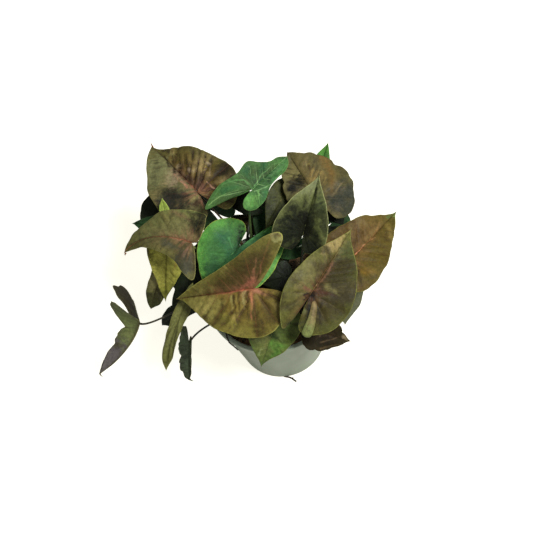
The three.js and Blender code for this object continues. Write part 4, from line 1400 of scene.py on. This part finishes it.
    def label(
        self, verts: list, layers: tuple[object, object, object], rows: np.ndarray, edges: np.ndarray
    ) -> None:
        """Writes the blade's own coordinates on vertices.

        Args:
            verts: The vertices.
            layers: The layers of place, edge and rise.
            rows: Place along, place across and vein count of each vertex.
            edges: Nearness to the margin of each vertex.
        """
        # The materials read the rise: painted shade where it is low, in the folds, and painted highlight
        # where it is high.
        calm = 1 - np.where(rows[:, 1] > 0, *self.ribbing)
        level = 0.18 * calm * smooth(np.abs(rows[:, 1]), 0.0, 0.1)
        rises = self.pleats(rows[:, 0], rows[:, 1], edges) + level
        for vertex, row, edge, rise in zip(verts, rows, edges, rises):
            vertex[layers[0]] = Vector(row)
            vertex[layers[1]] = edge
            vertex[layers[2]] = rise

    def build(self, stem: Stem) -> bpy.types.Object:
        """Models the leaf and dresses it.

        Args:
            stem: The stem that it grows from.

        Returns:
            The object.
        """
        bm = bmesh.new()
        layers = self.layers(bm)
        placed = {}

        def place(u: np.ndarray, v: np.ndarray) -> Points:
            """Places the blade and keeps its own coordinates."""
            points, placed["blade"], placed["edge"] = self.blade(u, v)
            return points

        self.label(skin(bm, self.cells, place, UPPER, LOWER), layers, placed["blade"], placed["edge"])
        for curl in self.curls:
            made = skin(bm, self.roll_cells, self.rolled(curl, placed), UPPER)
            self.label(made, layers, placed["blade"], placed["edge"])
        if self.drip:
            made = skin(bm, self.drip_cells, self.drawn_out(), UPPER)
            rows = np.repeat(np.array([[1.0, 0.0, 8.0]]), len(made), axis=0)
            self.label(made, layers, rows, np.full(len(made), 0.9))
        skin(bm, self.stalk_cells, self.stalk(stem), STALK)
        made = settle(bm, self.name + "_fine", self.materials())
        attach(made, "root")
        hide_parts(self.name)
        return made

    def materials(self) -> list[bpy.types.Material]:
        """Gives the materials of the upper side, the under side and the petiole."""
        word = self.finish.name.lower()
        known = [bpy.data.materials.get(f"{word}_{part}") for part in ("upper", "lower", "petiole")]
        if all(known):
            return known
        look = self.finish.value
        if look.streaks:
            seen = self.seen()
            look = replace(look, streaks=tuple(streak.laid(seen) for streak in look.streaks))
        under = look.upper if look.alike else look.lower
        return [look.upper(word + "_upper"), under(word + "_lower"), look.petiole(word + "_petiole")]


SMALL = (72, 28)
LEAVES = (
    Leaf("leaf_back_left", joint=(-46, 79, 182), tip=(-82, 148, 178), face=(0.05, -0.35, 1),
         shape=(Outline.ROUND, Outline.HEART), half=0.56, halves=(0.9, 0.92), lobes=(0.6, 0.75),
         fold=8, wave=0.035, waves=6, finish=Finish.BACK_LEFT, stem="stem_back_left", rises_from=142,
         pleat=0.045, ribbing=(0.1, 1.2), drip=(0.5, -1.0, 6.0)),
    Leaf("leaf_left", joint=(-60, 22, 190), tip=(-128, 51, 152), face=(-0.3, -0.25, 0.95),
         shape=(Outline.WING, Outline.HEART), half=0.5, halves=(0.75, 0.68), lobes=(0.45, 0.15),
         arch=-22, curl=45, sweep=42, knee=(0.5, -0.28), finish=Finish.LEFT, stem="stem_back_left",
         rises_from=140, drip=(0.5, 0.0, -3.5)),
    Leaf("leaf_front", joint=(-15, -37, 190), tip=(-85, -17, 166), face=(0.05, -0.5, 0.85),
         shape=(Outline.HEART, Outline.WING), half=0.6, halves=(0.95, 1), lobes=(0.68, 1.05), fold=16,
         arch=-12, pleat=0.03, ribbing=(1.0, 0.2), finish=Finish.FRONT, stem="stem_front",
         rises_from=136),
    Leaf("leaf_front_right", joint=(32, -57, 196), tip=(80, -7, 202), face=(0.05, -0.5, 0.87),
         shape=(Outline.CLOSED, Outline.HEART), half=0.5, halves=(0.68, 1.05), lobes=(0.95, 0.85),
         fold=14, waves=4, lobe_drop=34, finish=Finish.FRONT_RIGHT, stem="stem_front", rises_from=128,
         curls=(Curl((-0.06, -0.09), (-0.475, -0.245), 5.4, 0.02),)),
    Leaf("leaf_right", joint=(74, -19, 168), tip=(130, 27, 156), face=(0.1, -0.45, 0.9), nick=0.03,
         half=0.42, lobes=(0.6, 0.7), fold=14, finish=Finish.RIGHT, stem="stem_right", rises_from=136),
    Leaf("leaf_back_right", joint=(57, 37, 192), tip=(42, 88, 200), face=(0.1, -0.4, 0.9),
         shape=(Outline.ROUND, Outline.ROUND), half=0.72, halves=(0.62, 1), lobes=(0.4, 0.95),
         arch=-24, wave=0.04, nick=0.05, finish=Finish.BACK_RIGHT, stem="stem_back", rises_from=146),
    Leaf("leaf_folded", joint=(39, 3, 196), tip=(63.5, 38, 228), face=(-0.15, -0.6, 0.75), half=0.56,
         halves=(1, 0.8), lobes=(0.6, 0.6), fold=30, finish=Finish.FOLDED, stem="stem_right",
         rises_from=140),
    Leaf("leaf_top_green", joint=(5, 42, 222), tip=(40, 63, 228), face=(-0.05, -0.49, 0.87),
         shape=(Outline.HORNED, Outline.BLUNT), half=0.58, halves=(1, 0.64), fold=6, lobe_drop=14,
         finish=Finish.TOP_GREEN, stem="stem_back_left", rises_from=143, curl=14, arch=-10, wave=0.03,
         waves=6),
    Leaf("leaf_round_green", joint=(-23, 19, 166), tip=(-60, 0, 149), face=(-0.1, -0.45, 0.9),
         shape=(Outline.ROUND, Outline.ROUND), half=0.8, halves=(1.1, 0.95), lobes=(1.75, 0.9), fold=8,
         finish=Finish.ROUND_GREEN, stem="stem_left", rises_from=146),
    Leaf("leaf_back_tip", joint=(68, 81, 168), tip=(85, 108, 175), face=(0, -0.4, 0.9), half=0.3,
         finish=Finish.BACK_TIP, stem="stem_back", rises_from=126, cells=SMALL),
    Leaf("leaf_low_front", joint=(-1, -54, 158), tip=(-25, -81, 122), face=(-0.1, -0.65, 0.75),
         half=0.6, halves=(0.8, 0.95), lobes=(0.5, 0.5), finish=Finish.LOW_FRONT, stem="stem_front",
         rises_from=118),
    Leaf("leaf_hanging_olive", joint=(-84, 53, 156), tip=(-104, 21, 95), face=(-0.3, -0.75, 0.6),
         half=0.3, lobes=(0.4, 0.4), finish=Finish.HANGING_OLIVE, stem="stem_back_left", rises_from=122),
    Leaf("leaf_hanging_brown", joint=(-92, 48, 125), tip=(-122, 26, 79), face=(-0.5, -0.5, 0.6),
         shape=(Outline.TONGUE, Outline.TONGUE), half=0.22, finish=Finish.HANGING_BROWN,
         stem="stem_back_left", rises_from=112),
    Leaf("leaf_hanging_dark", joint=(-64, 32, 128), tip=(-102, 10, 86), face=(-0.3, -0.6, 0.6),
         nick=0.09, half=0.3, finish=Finish.DARK, stem="stem_left", rises_from=128),
    Leaf("leaf_low_left", joint=(-74, 6, 114), tip=(-114, 7, 76), face=(-0.4, -0.6, 0.6),
         shape=(Outline.TONGUE, Outline.TONGUE), half=0.2, finish=Finish.DARK, stem="stem_left",
         rises_from=110, leave=150, cells=SMALL),
    Leaf("leaf_tongue", joint=(-77, -17, 156), tip=(-114, -51, 95), face=(-0.5, -0.6, 0.6),
         shape=(Outline.TONGUE, Outline.TONGUE), half=0.1, sweep=14, finish=Finish.TONGUE,
         stem="stem_left", rises_from=122),
    Leaf("leaf_trailing_left", joint=(-128.8, -4.4, 118.1), tip=(-185.3, -23.8, 63),
         face=(-0.59, 0.82, 0.08), shape=(Outline.FORK, Outline.PRONG), half=0.5, fold=59.5, arch=42,
         sweep=63, halves=(0.83, 1.16), finish=Finish.TRAILING_LEFT, stem="stem_left", rises_from=116,
         drip=(1.5, 1.0, -9.0), curl=-9, lobe_drop=18, nick=0.09),
    Leaf("leaf_trailing_front", joint=(-87, -33, 106), tip=(-98, -50, 58), face=(-0.3, -0.8, 0.4),
         shape=(Outline.TONGUE, Outline.TONGUE), half=0.14, halves=(0.5, 1.5), lobes=(0.6, 1.6),
         finish=Finish.TRAILING_DARK, stem="stem_front", rises_from=112, drip=(3.0, 1.0, -5.0),
         nick=0.13),
    Leaf("leaf_low_brown", joint=(30, -66, 140), tip=(60, -76, 122), face=(0.1, -0.5, 0.85), nick=0.05,
         half=0.5, lobes=(0.6, 0.6), finish=Finish.BROWN, stem="stem_right", rises_from=116,
         cells=SMALL),
    Leaf("leaf_low_dark", joint=(12, -50, 130), tip=(0, -61, 120), face=(-0.1, -0.6, 0.8), half=0.3,
         finish=Finish.DARK, stem="stem_front", rises_from=108, cells=SMALL),
    Leaf("leaf_pale_under", joint=(71, -35, 140), tip=(59, -51, 105), face=(0.6, -0.5, 0.4),
         shape=(Outline.ROUND, Outline.ROUND), half=0.45, finish=Finish.PALE, stem="stem_right",
         rises_from=122, cells=SMALL),
    Leaf("leaf_behind_left", joint=(-92, 88, 140), tip=(-89, 124, 143), face=(-0.1, -0.3, 0.95),
         shape=(Outline.ROUND, Outline.ROUND), half=0.5, finish=Finish.DARK, stem="stem_back_left",
         rises_from=132, cells=SMALL),
    Leaf("leaf_small_left", joint=(-92, 72, 152), tip=(-117, 84, 150), face=(-0.1, -0.3, 0.95),
         half=0.4, finish=Finish.DEEP_GREEN, stem="stem_back_left", rises_from=138, cells=SMALL),
    Leaf("leaf_young_left", joint=(-79, 54, 178), tip=(-78.3, 72, 197), face=(-0.3, -0.8, 0.5),
         shape=(Outline.TONGUE, Outline.TONGUE), half=0.2, finish=Finish.YOUNG, stem="stem_left",
         rises_from=136, cells=SMALL, knee=(0.02, 0.3)),
    Leaf("leaf_inner_left", joint=(-4, 64, 170), tip=(-28, 86, 163), face=(-0.1, -0.4, 0.9), half=0.34,
         finish=Finish.DARK, stem="stem_back_left", rises_from=142, cells=SMALL),
    Leaf("leaf_inner_brown", joint=(-4, 56, 142), tip=(-25, 76, 138), face=(-0.1, -0.4, 0.9), half=0.3,
         finish=Finish.BROWN, stem="stem_back_left", rises_from=126, cells=SMALL),
    Leaf("leaf_inner_olive", joint=(29, 50, 187), tip=(6, 26, 176), face=(-0.1, -0.6, 0.7), half=0.4,
         leave=110, finish=Finish.OLIVE, stem="stem_back", rises_from=142, cells=SMALL),
    Leaf("leaf_inner_back", joint=(38, 60, 164), tip=(24, 38, 154), face=(0.1, -0.6, 0.7), half=0.4,
         finish=Finish.DEEP_GREEN, stem="stem_back", rises_from=134, cells=SMALL),
    Leaf("leaf_under_right", joint=(70, 41, 170), tip=(79, 24, 155), face=(0.2, -0.5, 0.85), half=0.6,
         finish=Finish.DARK, stem="stem_back", rises_from=134, cells=SMALL),
    Leaf("leaf_centre", joint=(28, 10, 160), tip=(7, 12, 151), face=(0, -0.4, 0.9), half=0.42,
         finish=Finish.DEEP_GREEN, stem="stem_back", rises_from=128, cells=SMALL),
    Leaf("leaf_centre_dark", joint=(18, -8, 145), tip=(-10, -8, 141), face=(-0.1, -0.4, 0.9),
         half=0.55, lobes=(0.3, 0.3), finish=Finish.DARK, stem="stem_right", rises_from=126,
         cells=SMALL),
    Leaf("leaf_centre_green", joint=(14, 56, 156), tip=(-4, 34, 146), face=(0, -0.5, 0.85), half=0.5,
         lobes=(0.5, 0.5), finish=Finish.DEEP_GREEN, stem="stem_back", rises_from=122, cells=SMALL),
    Leaf("leaf_back_low_left", joint=(-42, 88, 138), tip=(-64, 128, 112), face=(-0.2, 0.3, 0.9),
         half=0.5, finish=Finish.DEEP_GREEN, stem="stem_back_left", rises_from=114, cells=SMALL),
    Leaf("leaf_back_low_right", joint=(48, 78, 138), tip=(64, 118, 110), face=(0.2, 0.3, 0.9),
         half=0.5, finish=Finish.DEEP_GREEN, stem="stem_back", rises_from=116, cells=SMALL),
    Leaf("leaf_back_low", joint=(8, 80, 126), tip=(14, 112, 104), face=(0, 0.5, 0.85), half=0.5,
         finish=Finish.DARK, stem="stem_back_left", rises_from=110, cells=SMALL),
    Leaf("leaf_right_back", joint=(74, 52, 122), tip=(92, 70, 100), face=(0.5, 0.3, 0.85), half=0.5,
         finish=Finish.DEEP_GREEN, stem="stem_back", rises_from=110, cells=SMALL),
    Leaf("leaf_right_low", joint=(76, 17, 135), tip=(108, 26, 107), face=(0.5, 0, 0.85), half=0.5,
         finish=Finish.DARK, stem="stem_right", rises_from=118, cells=SMALL),
    Leaf("leaf_right_under", joint=(70, -4, 117), tip=(94, -4, 95), face=(0.6, -0.2, 0.8), half=0.5,
         finish=Finish.DEEP_GREEN, stem="stem_right", rises_from=110, cells=SMALL),
)

STEMS = (
    Stem("stem_left", at=(-26, 4), top=150),
    Stem("stem_front", at=(-6, -24), top=146),
    Stem("stem_right", at=(26, -8), top=148),
    Stem("stem_back", at=(16, 24), top=156),
    Stem("stem_back_left", at=(-14, 30), top=150),
)


# ---------- pot and potting mix ----------


def cut(target: bpy.types.Object, cutter: bmesh.types.BMesh) -> None:
    """Cuts one mesh out of an object.

    Args:
        target: The object that loses material.
        cutter: The closed mesh to cut with, which is used up.
    """
    mesh = bpy.data.meshes.new("cutter")
    cutter.to_mesh(mesh)
    cutter.free()
    tool = bpy.data.objects.new("cutter", mesh)
    bpy.context.scene.collection.objects.link(tool)
    modifier = target.modifiers.new("cut", "BOOLEAN")
    modifier.object, modifier.operation, modifier.solver = tool, "DIFFERENCE", "EXACT"
    graph = bpy.context.evaluated_depsgraph_get()
    cut_mesh = bpy.data.meshes.new_from_object(target.evaluated_get(graph))
    target.modifiers.clear()
    old, target.data = target.data, cut_mesh
    bpy.data.meshes.remove(old)
    bpy.data.objects.remove(tool)
    bpy.data.meshes.remove(mesh)


def posts(places: list[tuple[float, float]], radius: float, low: float, high: float) -> bmesh.types.BMesh:
    """Makes a mesh of upright cylinders.

    Args:
        places: Their axes, in millimetres.
        radius: Their radius.
        low: Height of their feet.
        high: Height of their tops.

    Returns:
        The mesh.
    """
    bm = bmesh.new()
    for x, y in places:
        matrix = Matrix.Translation((x * MM, y * MM, (low + high) / 2 * MM))
        size = {"radius1": radius * MM, "radius2": radius * MM, "depth": (high - low) * MM}
        bmesh.ops.create_cone(bm, cap_ends=True, segments=24, matrix=matrix, **size)
    return bm


@dataclass(frozen=True)
class Pot:
    """The white nursery pot. Sizes are in millimetres."""

    rim_radius: float = 65
    height: float = 110
    base_radius: float = 45
    wall: float = 1.6
    floor: float = 2.2
    lip_width: float = 3.4
    lip_depth: float = 9
    lip_draft: float = 1.2
    bevel: float = 1.5
    mouth_bevel: float = 3
    drain_holes: int = 6
    drain_radius: float = 4
    drain_circle: float = 32
    sides: int = 144

    def wall_radius(self, z: float) -> float:
        """Gives the radius of the outside of the wall at a height."""
        return self.base_radius + (self.rim_radius - self.lip_width - self.base_radius) * z / self.height

    def inside_radius(self, z: float) -> float:
        """Gives the radius of the inside of the wall at a height."""
        return self.wall_radius(z) - self.wall

    def profile(self) -> list[tuple[float, float]]:
        """Gives radius and height of the corners, rounded, from the foot to the inner floor."""
        foot = self.height - self.lip_depth
        mouth = self.height - self.mouth_bevel
        corners = [
            (0, 0, 0),
            (self.base_radius, 0, 1.5),
            (self.wall_radius(foot - self.bevel), foot - self.bevel, 0.6),
            (self.rim_radius - self.lip_draft, foot, 0.7),
            (self.rim_radius, self.height, 1.5),
            (self.rim_radius - self.lip_width, self.height, 0.8),
            (self.inside_radius(mouth), mouth, 1.2),
            (self.inside_radius(self.floor), self.floor, 1.0),
            (0, self.floor, 0),
        ]
        path = []
        for i, (r, z, bend) in enumerate(corners):
            if not bend:
                path.append((r, z))
                continue
            here = np.array((r, z))
            back = here + bend * unit(np.subtract(corners[i - 1][:2], here))
            on = here + bend * unit(np.subtract(corners[i + 1][:2], here))
            for t in np.linspace(0, 1, 6):
                path.append(tuple((1 - t) ** 2 * back + 2 * t * (1 - t) * here + t * t * on))
        return path

    def build(self) -> bpy.types.Object:
        """Models the pot by spinning its profile, and cuts the drain holes.

        Returns:
            The object.
        """
        bm = bmesh.new()
        verts = [bm.verts.new((r * MM, 0, z * MM)) for r, z in self.profile()]
        edges = [bm.edges.new(pair) for pair in zip(verts, verts[1:])]
        bmesh.ops.spin(bm, geom=verts + edges, cent=(0, 0, 0), axis=(0, 0, 1), dvec=(0, 0, 0), angle=math.tau,
                       steps=self.sides, use_merge=True, use_normal_flip=False, use_duplicate=False)
        for face in bm.faces:
            face.smooth = True
        made = settle(bm, "pot_fine", [self.plastic()])
        angles = [(i + 0.5) * math.tau / self.drain_holes for i in range(self.drain_holes)]
        places = [(self.drain_circle * math.cos(a), self.drain_circle * math.sin(a)) for a in angles]
        cut(made, posts(places, self.drain_radius, -1, self.floor + 1))
        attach(made, "root")
        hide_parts("pot")
        return made

    @staticmethod
    def plastic() -> bpy.types.Material:
        """Makes the satin white plastic, slightly marked, in grey-green tones darker than white: painted
        shade of the leaves over the pot.
        """
        shade = Shade("pot_plastic_white")
        haze = shade.ramp(shade.clouds(22, 3), 0.35, 0.7, 0, 0.35)
        # Both tones are grey-green, darker than the white plastic: painted shade.
        colour = shade.mix(haze, tint("a5b29b"), tint("97a58c"))
        marks = shade.ramp(shade.clouds(160, 4, 0.6), 0.62, 0.78, 0, 0.3)
        colour = shade.mix(marks, colour, tint("839079"))
        matt = shade.ramp(shade.clouds(60, 2), 0.3, 0.7, 0.34, 0.46)
        shade.relief(shade.clouds(45, 2), 0.0004, 0.25)
        return shade.surface(colour, matt, Specular_IOR_Level=0.45, Subsurface_Weight=0.08,
                             Subsurface_Scale=0.004, Subsurface_Radius=(1.0, 1.0, 0.9))


@dataclass(frozen=True)
class PottingMix:
    """The dark mix in the pot, with bark and fibres on it. Sizes are in millimetres."""

    pot: Pot
    stems: tuple[Stem, ...]
    top: float = 97
    relief: float = 1.3
    coarse: float = 0.3
    fine: float = 0.5
    crumb: float = 0.9
    cells: tuple[int, int] = (160, 90)
    chips: int = 420
    fibres: int = 60
    chips_in: float = 6  # between the chips and the wall
    chips_off: float = 9  # between the chips and a stem's axis
    fibres_in: float = 3
    fibres_off: float = 12
    fibre_reach: float = 50

    def height(self, x: np.ndarray, y: np.ndarray) -> np.ndarray:
        """Gives the height of the surface."""
        lumps = np.sin(self.coarse * (x + 4)) * np.cos(self.coarse * y) + np.sin(self.fine * (y - x)) / 2
        grain = np.array([noise.fractal(Vector((a, b, 3)) * 0.22, 0.6, 2.1, 5) for a, b in zip(x, y)])
        return self.top + self.relief * lumps + self.crumb * grain

    def body(self) -> bpy.types.Object:
        """Models the mix as one closed body with holes for the stems."""
        floor = self.pot.floor + GAP
        rim = self.pot.inside_radius(self.top) - GAP - 0.3
        foot = self.pot.inside_radius(floor) - GAP

        def place(u: np.ndarray, v: np.ndarray) -> Points:
            """Puts grid places on the top, the side and the underside."""
            angle = u * math.tau
            radius = np.interp(v, [0, 0.8, 0.9, 1], [0, rim, foot, 0])
            x, y = radius * np.cos(angle), radius * np.sin(angle)
            down = np.clip((v - 0.8) / 0.1, 0, 1)
            z = self.height(x, y) * (1 - down) + floor * down
            return np.stack([x, y, z], axis=1)

        bm = bmesh.new()
        skin(bm, self.cells, place, 0)
        made = settle(bm, "soil_fine", [self.earth()])
        for stem in self.stems:
            cut(made, posts([stem.at], stem.radius + GAP + 0.1, self.top - stem.bury - GAP, self.top + 20))
        return made

    def scatter(self) -> bpy.types.Object:
        """Models the bark chips and crumbs that lie on the mix."""
        chance = random.Random(SEED)
        bm = bmesh.new()
        shade = bm.verts.layers.float.new("shade")
        reach = self.pot.inside_radius(self.top) - self.chips_in
        for _ in range(self.chips):
            radius, angle = reach * math.sqrt(chance.random()), chance.random() * math.tau
            x, y = radius * math.cos(angle), radius * math.sin(angle)
            if any(math.hypot(x - s.at[0], y - s.at[1]) < self.chips_off for s in self.stems):
                continue
            length = 1.2 + 5.2 * chance.random() ** 2.2
            size = (length, length * chance.uniform(0.45, 0.8), length * chance.uniform(0.25, 0.5))
            z = float(self.height(np.array([x]), np.array([y]))[0]) + size[2] * 0.2
            turn = Matrix.Rotation(chance.random() * math.tau, 4, "Z")
            pitch = Matrix.Rotation(chance.uniform(-0.5, 0.5), 4, "X")
            tip = pitch @ Matrix.Rotation(chance.uniform(-0.4, 0.4), 4, "Y")
            scale = Matrix.Diagonal((*[s * MM for s in size], 1))
            matrix = Matrix.Translation((x * MM, y * MM, z * MM)) @ turn @ tip @ scale
            made = bmesh.ops.create_cube(bm, size=1, matrix=matrix)
            for vertex in made["verts"]:
                vertex.co += Vector([chance.uniform(-0.2, 0.2) * length * MM for _ in range(3)])
            edges = list({e for v in made["verts"] for e in v.link_edges})
            how = {"offset_type": "OFFSET", "segments": 1, "profile": 0.5, "affect": "EDGES", "material": -1}
            bevelled = bmesh.ops.bevel(
                bm, geom=made["verts"] + edges, offset=0.08 * length * MM, clamp_overlap=True, **how
            )
            tone = chance.random() ** 1.5
            kept = {v for v in made["verts"] if v.is_valid}
            for vertex in {v for f in bevelled["faces"] for v in f.verts} | kept:
                vertex[shade] = tone
        return settle(bm, "soil_chips", [self.bark()])

    def threads(self) -> bpy.types.Object:
        """Models fine fibres and roots, among them one that hangs over the rim."""
        chance = random.Random(SEED + 1)
        bm = bmesh.new()
        for _ in range(self.fibres):
            radius = self.fibre_reach * math.sqrt(chance.random())
            angle = chance.random() * math.tau
            x, y, way = radius * math.cos(angle), radius * math.sin(angle), chance.random() * math.tau
            if any(math.hypot(x - s.at[0], y - s.at[1]) < self.fibres_off for s in self.stems):
                continue
            length, bow = chance.uniform(5, 12), chance.uniform(-3, 3)
            t = np.linspace(-0.5, 0.5, 9)
            px = x + length * t * math.cos(way) - bow * (1 - 4 * t * t) * math.sin(way)
            py = y + length * t * math.sin(way) + bow * (1 - 4 * t * t) * math.cos(way)
            inside = self.pot.inside_radius(self.top) - self.fibres_in
            if np.hypot(px, py).max() > inside:
                continue
            pz = self.height(px, py) + 0.4 + 1.2 * (1 - 4 * t * t)
            width = np.full(9, chance.uniform(0.15, 0.32))
            skin(bm, (5, 12), tube(np.stack([px, py, pz], axis=1), width), 0)
        for path, width in self.roots():
            skin(bm, (8, 48), tube(path, np.full(len(path), width)), 0)
        return settle(bm, "soil_roots", [self.root_skin()])

    def roots(self) -> list[tuple[Points, float]]:
        """Gives the thicker roots: one over the rim, and one at the pot's foot with its fork."""
        rim, top = self.pot.rim_radius, self.pot.height
        over = [(-152, rim - 12, 96.5), (-149, rim - 7, 104), (-146, rim - 4.2, top + 0.7),
                (-142, rim - 1, top + 0.8), (-139, rim + 0.75, top - 1.5), (-134, rim + 0.5, top - 6),
                (-131, rim + 0.6, top - 9)]
        base = self.pot.base_radius
        foot = [(-99.5, base - 0.1, 1.0), (-94, base + 1.2, 1.0), (-91, base + 2.8, 1.4),
                (-88.5, base + 5, 1.0), (-86, base + 8, 0.95)]
        twig = [(-90.5, base + 3.0, 1.3), (-89.5, base + 3.6, 2.0), (-88.0, base + 3.9, 2.6)]
        paths = []
        for rows, width in ((over, 0.6), (foot, 0.85), (twig, 0.5)):
            at = np.radians([r[0] for r in rows])
            reach = np.array([r[1] for r in rows])
            points = np.stack([reach * np.cos(at), reach * np.sin(at), [r[2] for r in rows]], axis=1)
            fine = np.linspace(0, len(points) - 1, 33)
            line = [np.interp(fine, range(len(points)), points[:, k]) for k in range(3)]
            paths.append((np.stack(line, axis=1), width))
        return paths

    def build(self) -> None:
        """Models the mix, its chips and its fibres."""
        for made in (self.body(), self.scatter(), self.threads()):
            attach(made, "root")
            if made.name == "soil_fine":
                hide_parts("soil")

    @staticmethod
    def painted_leaf_shade(shade: Shade, colour: object) -> bpy.types.NodeSocket:
        """Darkens a colour towards the middle of the pot: painted shade of the leaves over the mix."""
        place = shade.node("TexCoord", {}).outputs["Object"]
        flat = shade.vector("MULTIPLY", place, (1.0, 1.0, 0.0)).outputs[0]
        reach = shade.vector("LENGTH", flat).outputs["Value"]
        return shade.mix(shade.ramp(reach, 0.05, 0.038, 0, 0.9), colour, tint("120e0a"))

    @staticmethod
    def earth() -> bpy.types.Material:
        """Makes the dark moist mix."""
        shade = Shade("mix_earth")
        dry = shade.mix(shade.ramp(shade.clouds(180, 4, 0.65), 0.35, 0.7), tint("44321f"), tint("846848"))
        colour = PottingMix.painted_leaf_shade(shade, dry)
        colour = shade.mix(shade.ramp(shade.cells(420, "F1"), 0.3, 0.1, 0, 0.5), colour, tint("7b6a54"))
        shade.relief(shade.clouds(480, 5, 0.7), 0.0012, 1)
        return shade.surface(colour, 0.85, Specular_IOR_Level=0.25)

    @staticmethod
    def bark() -> bpy.types.Material:
        """Makes the bark, from near black to tan."""
        shade = Shade("mix_bark")
        tone = shade.attribute("shade").outputs["Fac"]
        colour = shade.mix(tone, tint("33271d"), tint("a08763"))
        colour = shade.mix(shade.ramp(shade.clouds(500, 3), 0.35, 0.65, 0, 0.6), colour, tint("3d2f23"))
        colour = PottingMix.painted_leaf_shade(shade, colour)
        shade.relief(shade.clouds(900, 3), 0.0004, 0.8)
        return shade.surface(colour, 0.8, Specular_IOR_Level=0.25)

    @staticmethod
    def root_skin() -> bpy.types.Material:
        """Makes the pale brown skin of roots and fibres."""
        shade = Shade("mix_roots")
        colour = shade.mix(shade.ramp(shade.clouds(300, 2), 0.35, 0.65), tint("3c2d1e"), tint("20170f"))
        return shade.surface(colour, 0.7)


# ---------- stage ----------


@dataclass(frozen=True)
class Stage:
    """The floor, the light and the camera. Lengths are in metres."""

    view: View = MAIN_VIEW
    floor_size: float = 6.0
    key_at: tuple[float, float, float] = (0.55, -0.5, 1.5)
    key_size: float = 0.45
    key_power: float = 32.0
    key_aim: tuple[float, float, float] = (0.0, 0.0, 0.15)
    sky: float = 0.31
    floor_glow: float = 0.86  # so that the floor shows pale under the plant's shade

    def floor(self) -> None:
        """Lays the plain pale floor."""
        bm = bmesh.new()
        bmesh.ops.create_grid(bm, x_segments=1, y_segments=1, size=self.floor_size / 2)
        shade = Shade("floor_pale")
        seen = shade.node("LightPath", {}).outputs["Is Camera Ray"]
        glow = shade.maths("MULTIPLY", seen, self.floor_glow)
        plain = shade.surface(tint("b9b6ae"), 0.9, Specular_IOR_Level=0.1, Emission_Strength=glow,
                              Emission_Color=tint("fffdf0"))
        settle(bm, "floor", [plain])

    def light(self) -> None:
        """Sets the even sky and the soft key light."""
        world = bpy.data.worlds.new("sky")
        world.use_nodes = True
        background = world.node_tree.nodes["Background"]
        background.inputs["Color"].default_value = (1, 1, 1, 1)
        seen = world.node_tree.nodes.new("ShaderNodeLightPath").outputs["Is Camera Ray"]
        strength = world.node_tree.nodes.new("ShaderNodeMapRange")
        strength.inputs["To Min"].default_value, strength.inputs["To Max"].default_value = self.sky, 1.0
        world.node_tree.links.new(seen, strength.inputs["Value"])
        world.node_tree.links.new(strength.outputs["Result"], background.inputs["Strength"])
        bpy.context.scene.world = world
        lamp = bpy.data.lights.new("key", "AREA")
        lamp.shape, lamp.size, lamp.energy = "DISK", self.key_size, self.key_power
        made = bpy.data.objects.new("key", lamp)
        made.location = self.key_at
        aim = Vector(self.key_aim) - Vector(self.key_at)
        made.rotation_mode = "QUATERNION"
        made.rotation_quaternion = aim.to_track_quat("-Z", "Y")
        bpy.context.scene.collection.objects.link(made)

    def camera(self) -> None:
        """Places the camera."""
        data = bpy.data.cameras.new("camera")
        data.lens, data.sensor_width = self.view.lens, self.view.sensor
        made = bpy.data.objects.new("camera", data)
        view = self.view
        turn = Matrix([view.across, [-c for c in view.down], [-c for c in view.ahead]]).transposed()
        made.matrix_world = Matrix.Translation(view.eye) @ turn.to_4x4()
        bpy.context.scene.collection.objects.link(made)
        bpy.context.scene.camera = made
        bpy.context.scene.view_settings.view_transform = "Standard"


def main() -> None:
    """Builds the plant over the frame."""
    logging.basicConfig(level=logging.INFO, format="%(name)s: %(message)s")
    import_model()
    pot = Pot()
    pot.build()
    mix = PottingMix(pot, STEMS)
    mix.build()
    stems = {stem.name: stem for stem in STEMS}
    for stem in STEMS:
        stem.build(mix.top)
    for leaf in LEAVES:
        leaf.build(stems[leaf.stem])
    stage = Stage()
    stage.floor()
    stage.light()
    stage.camera()


if __name__ == "__main__":
    main()
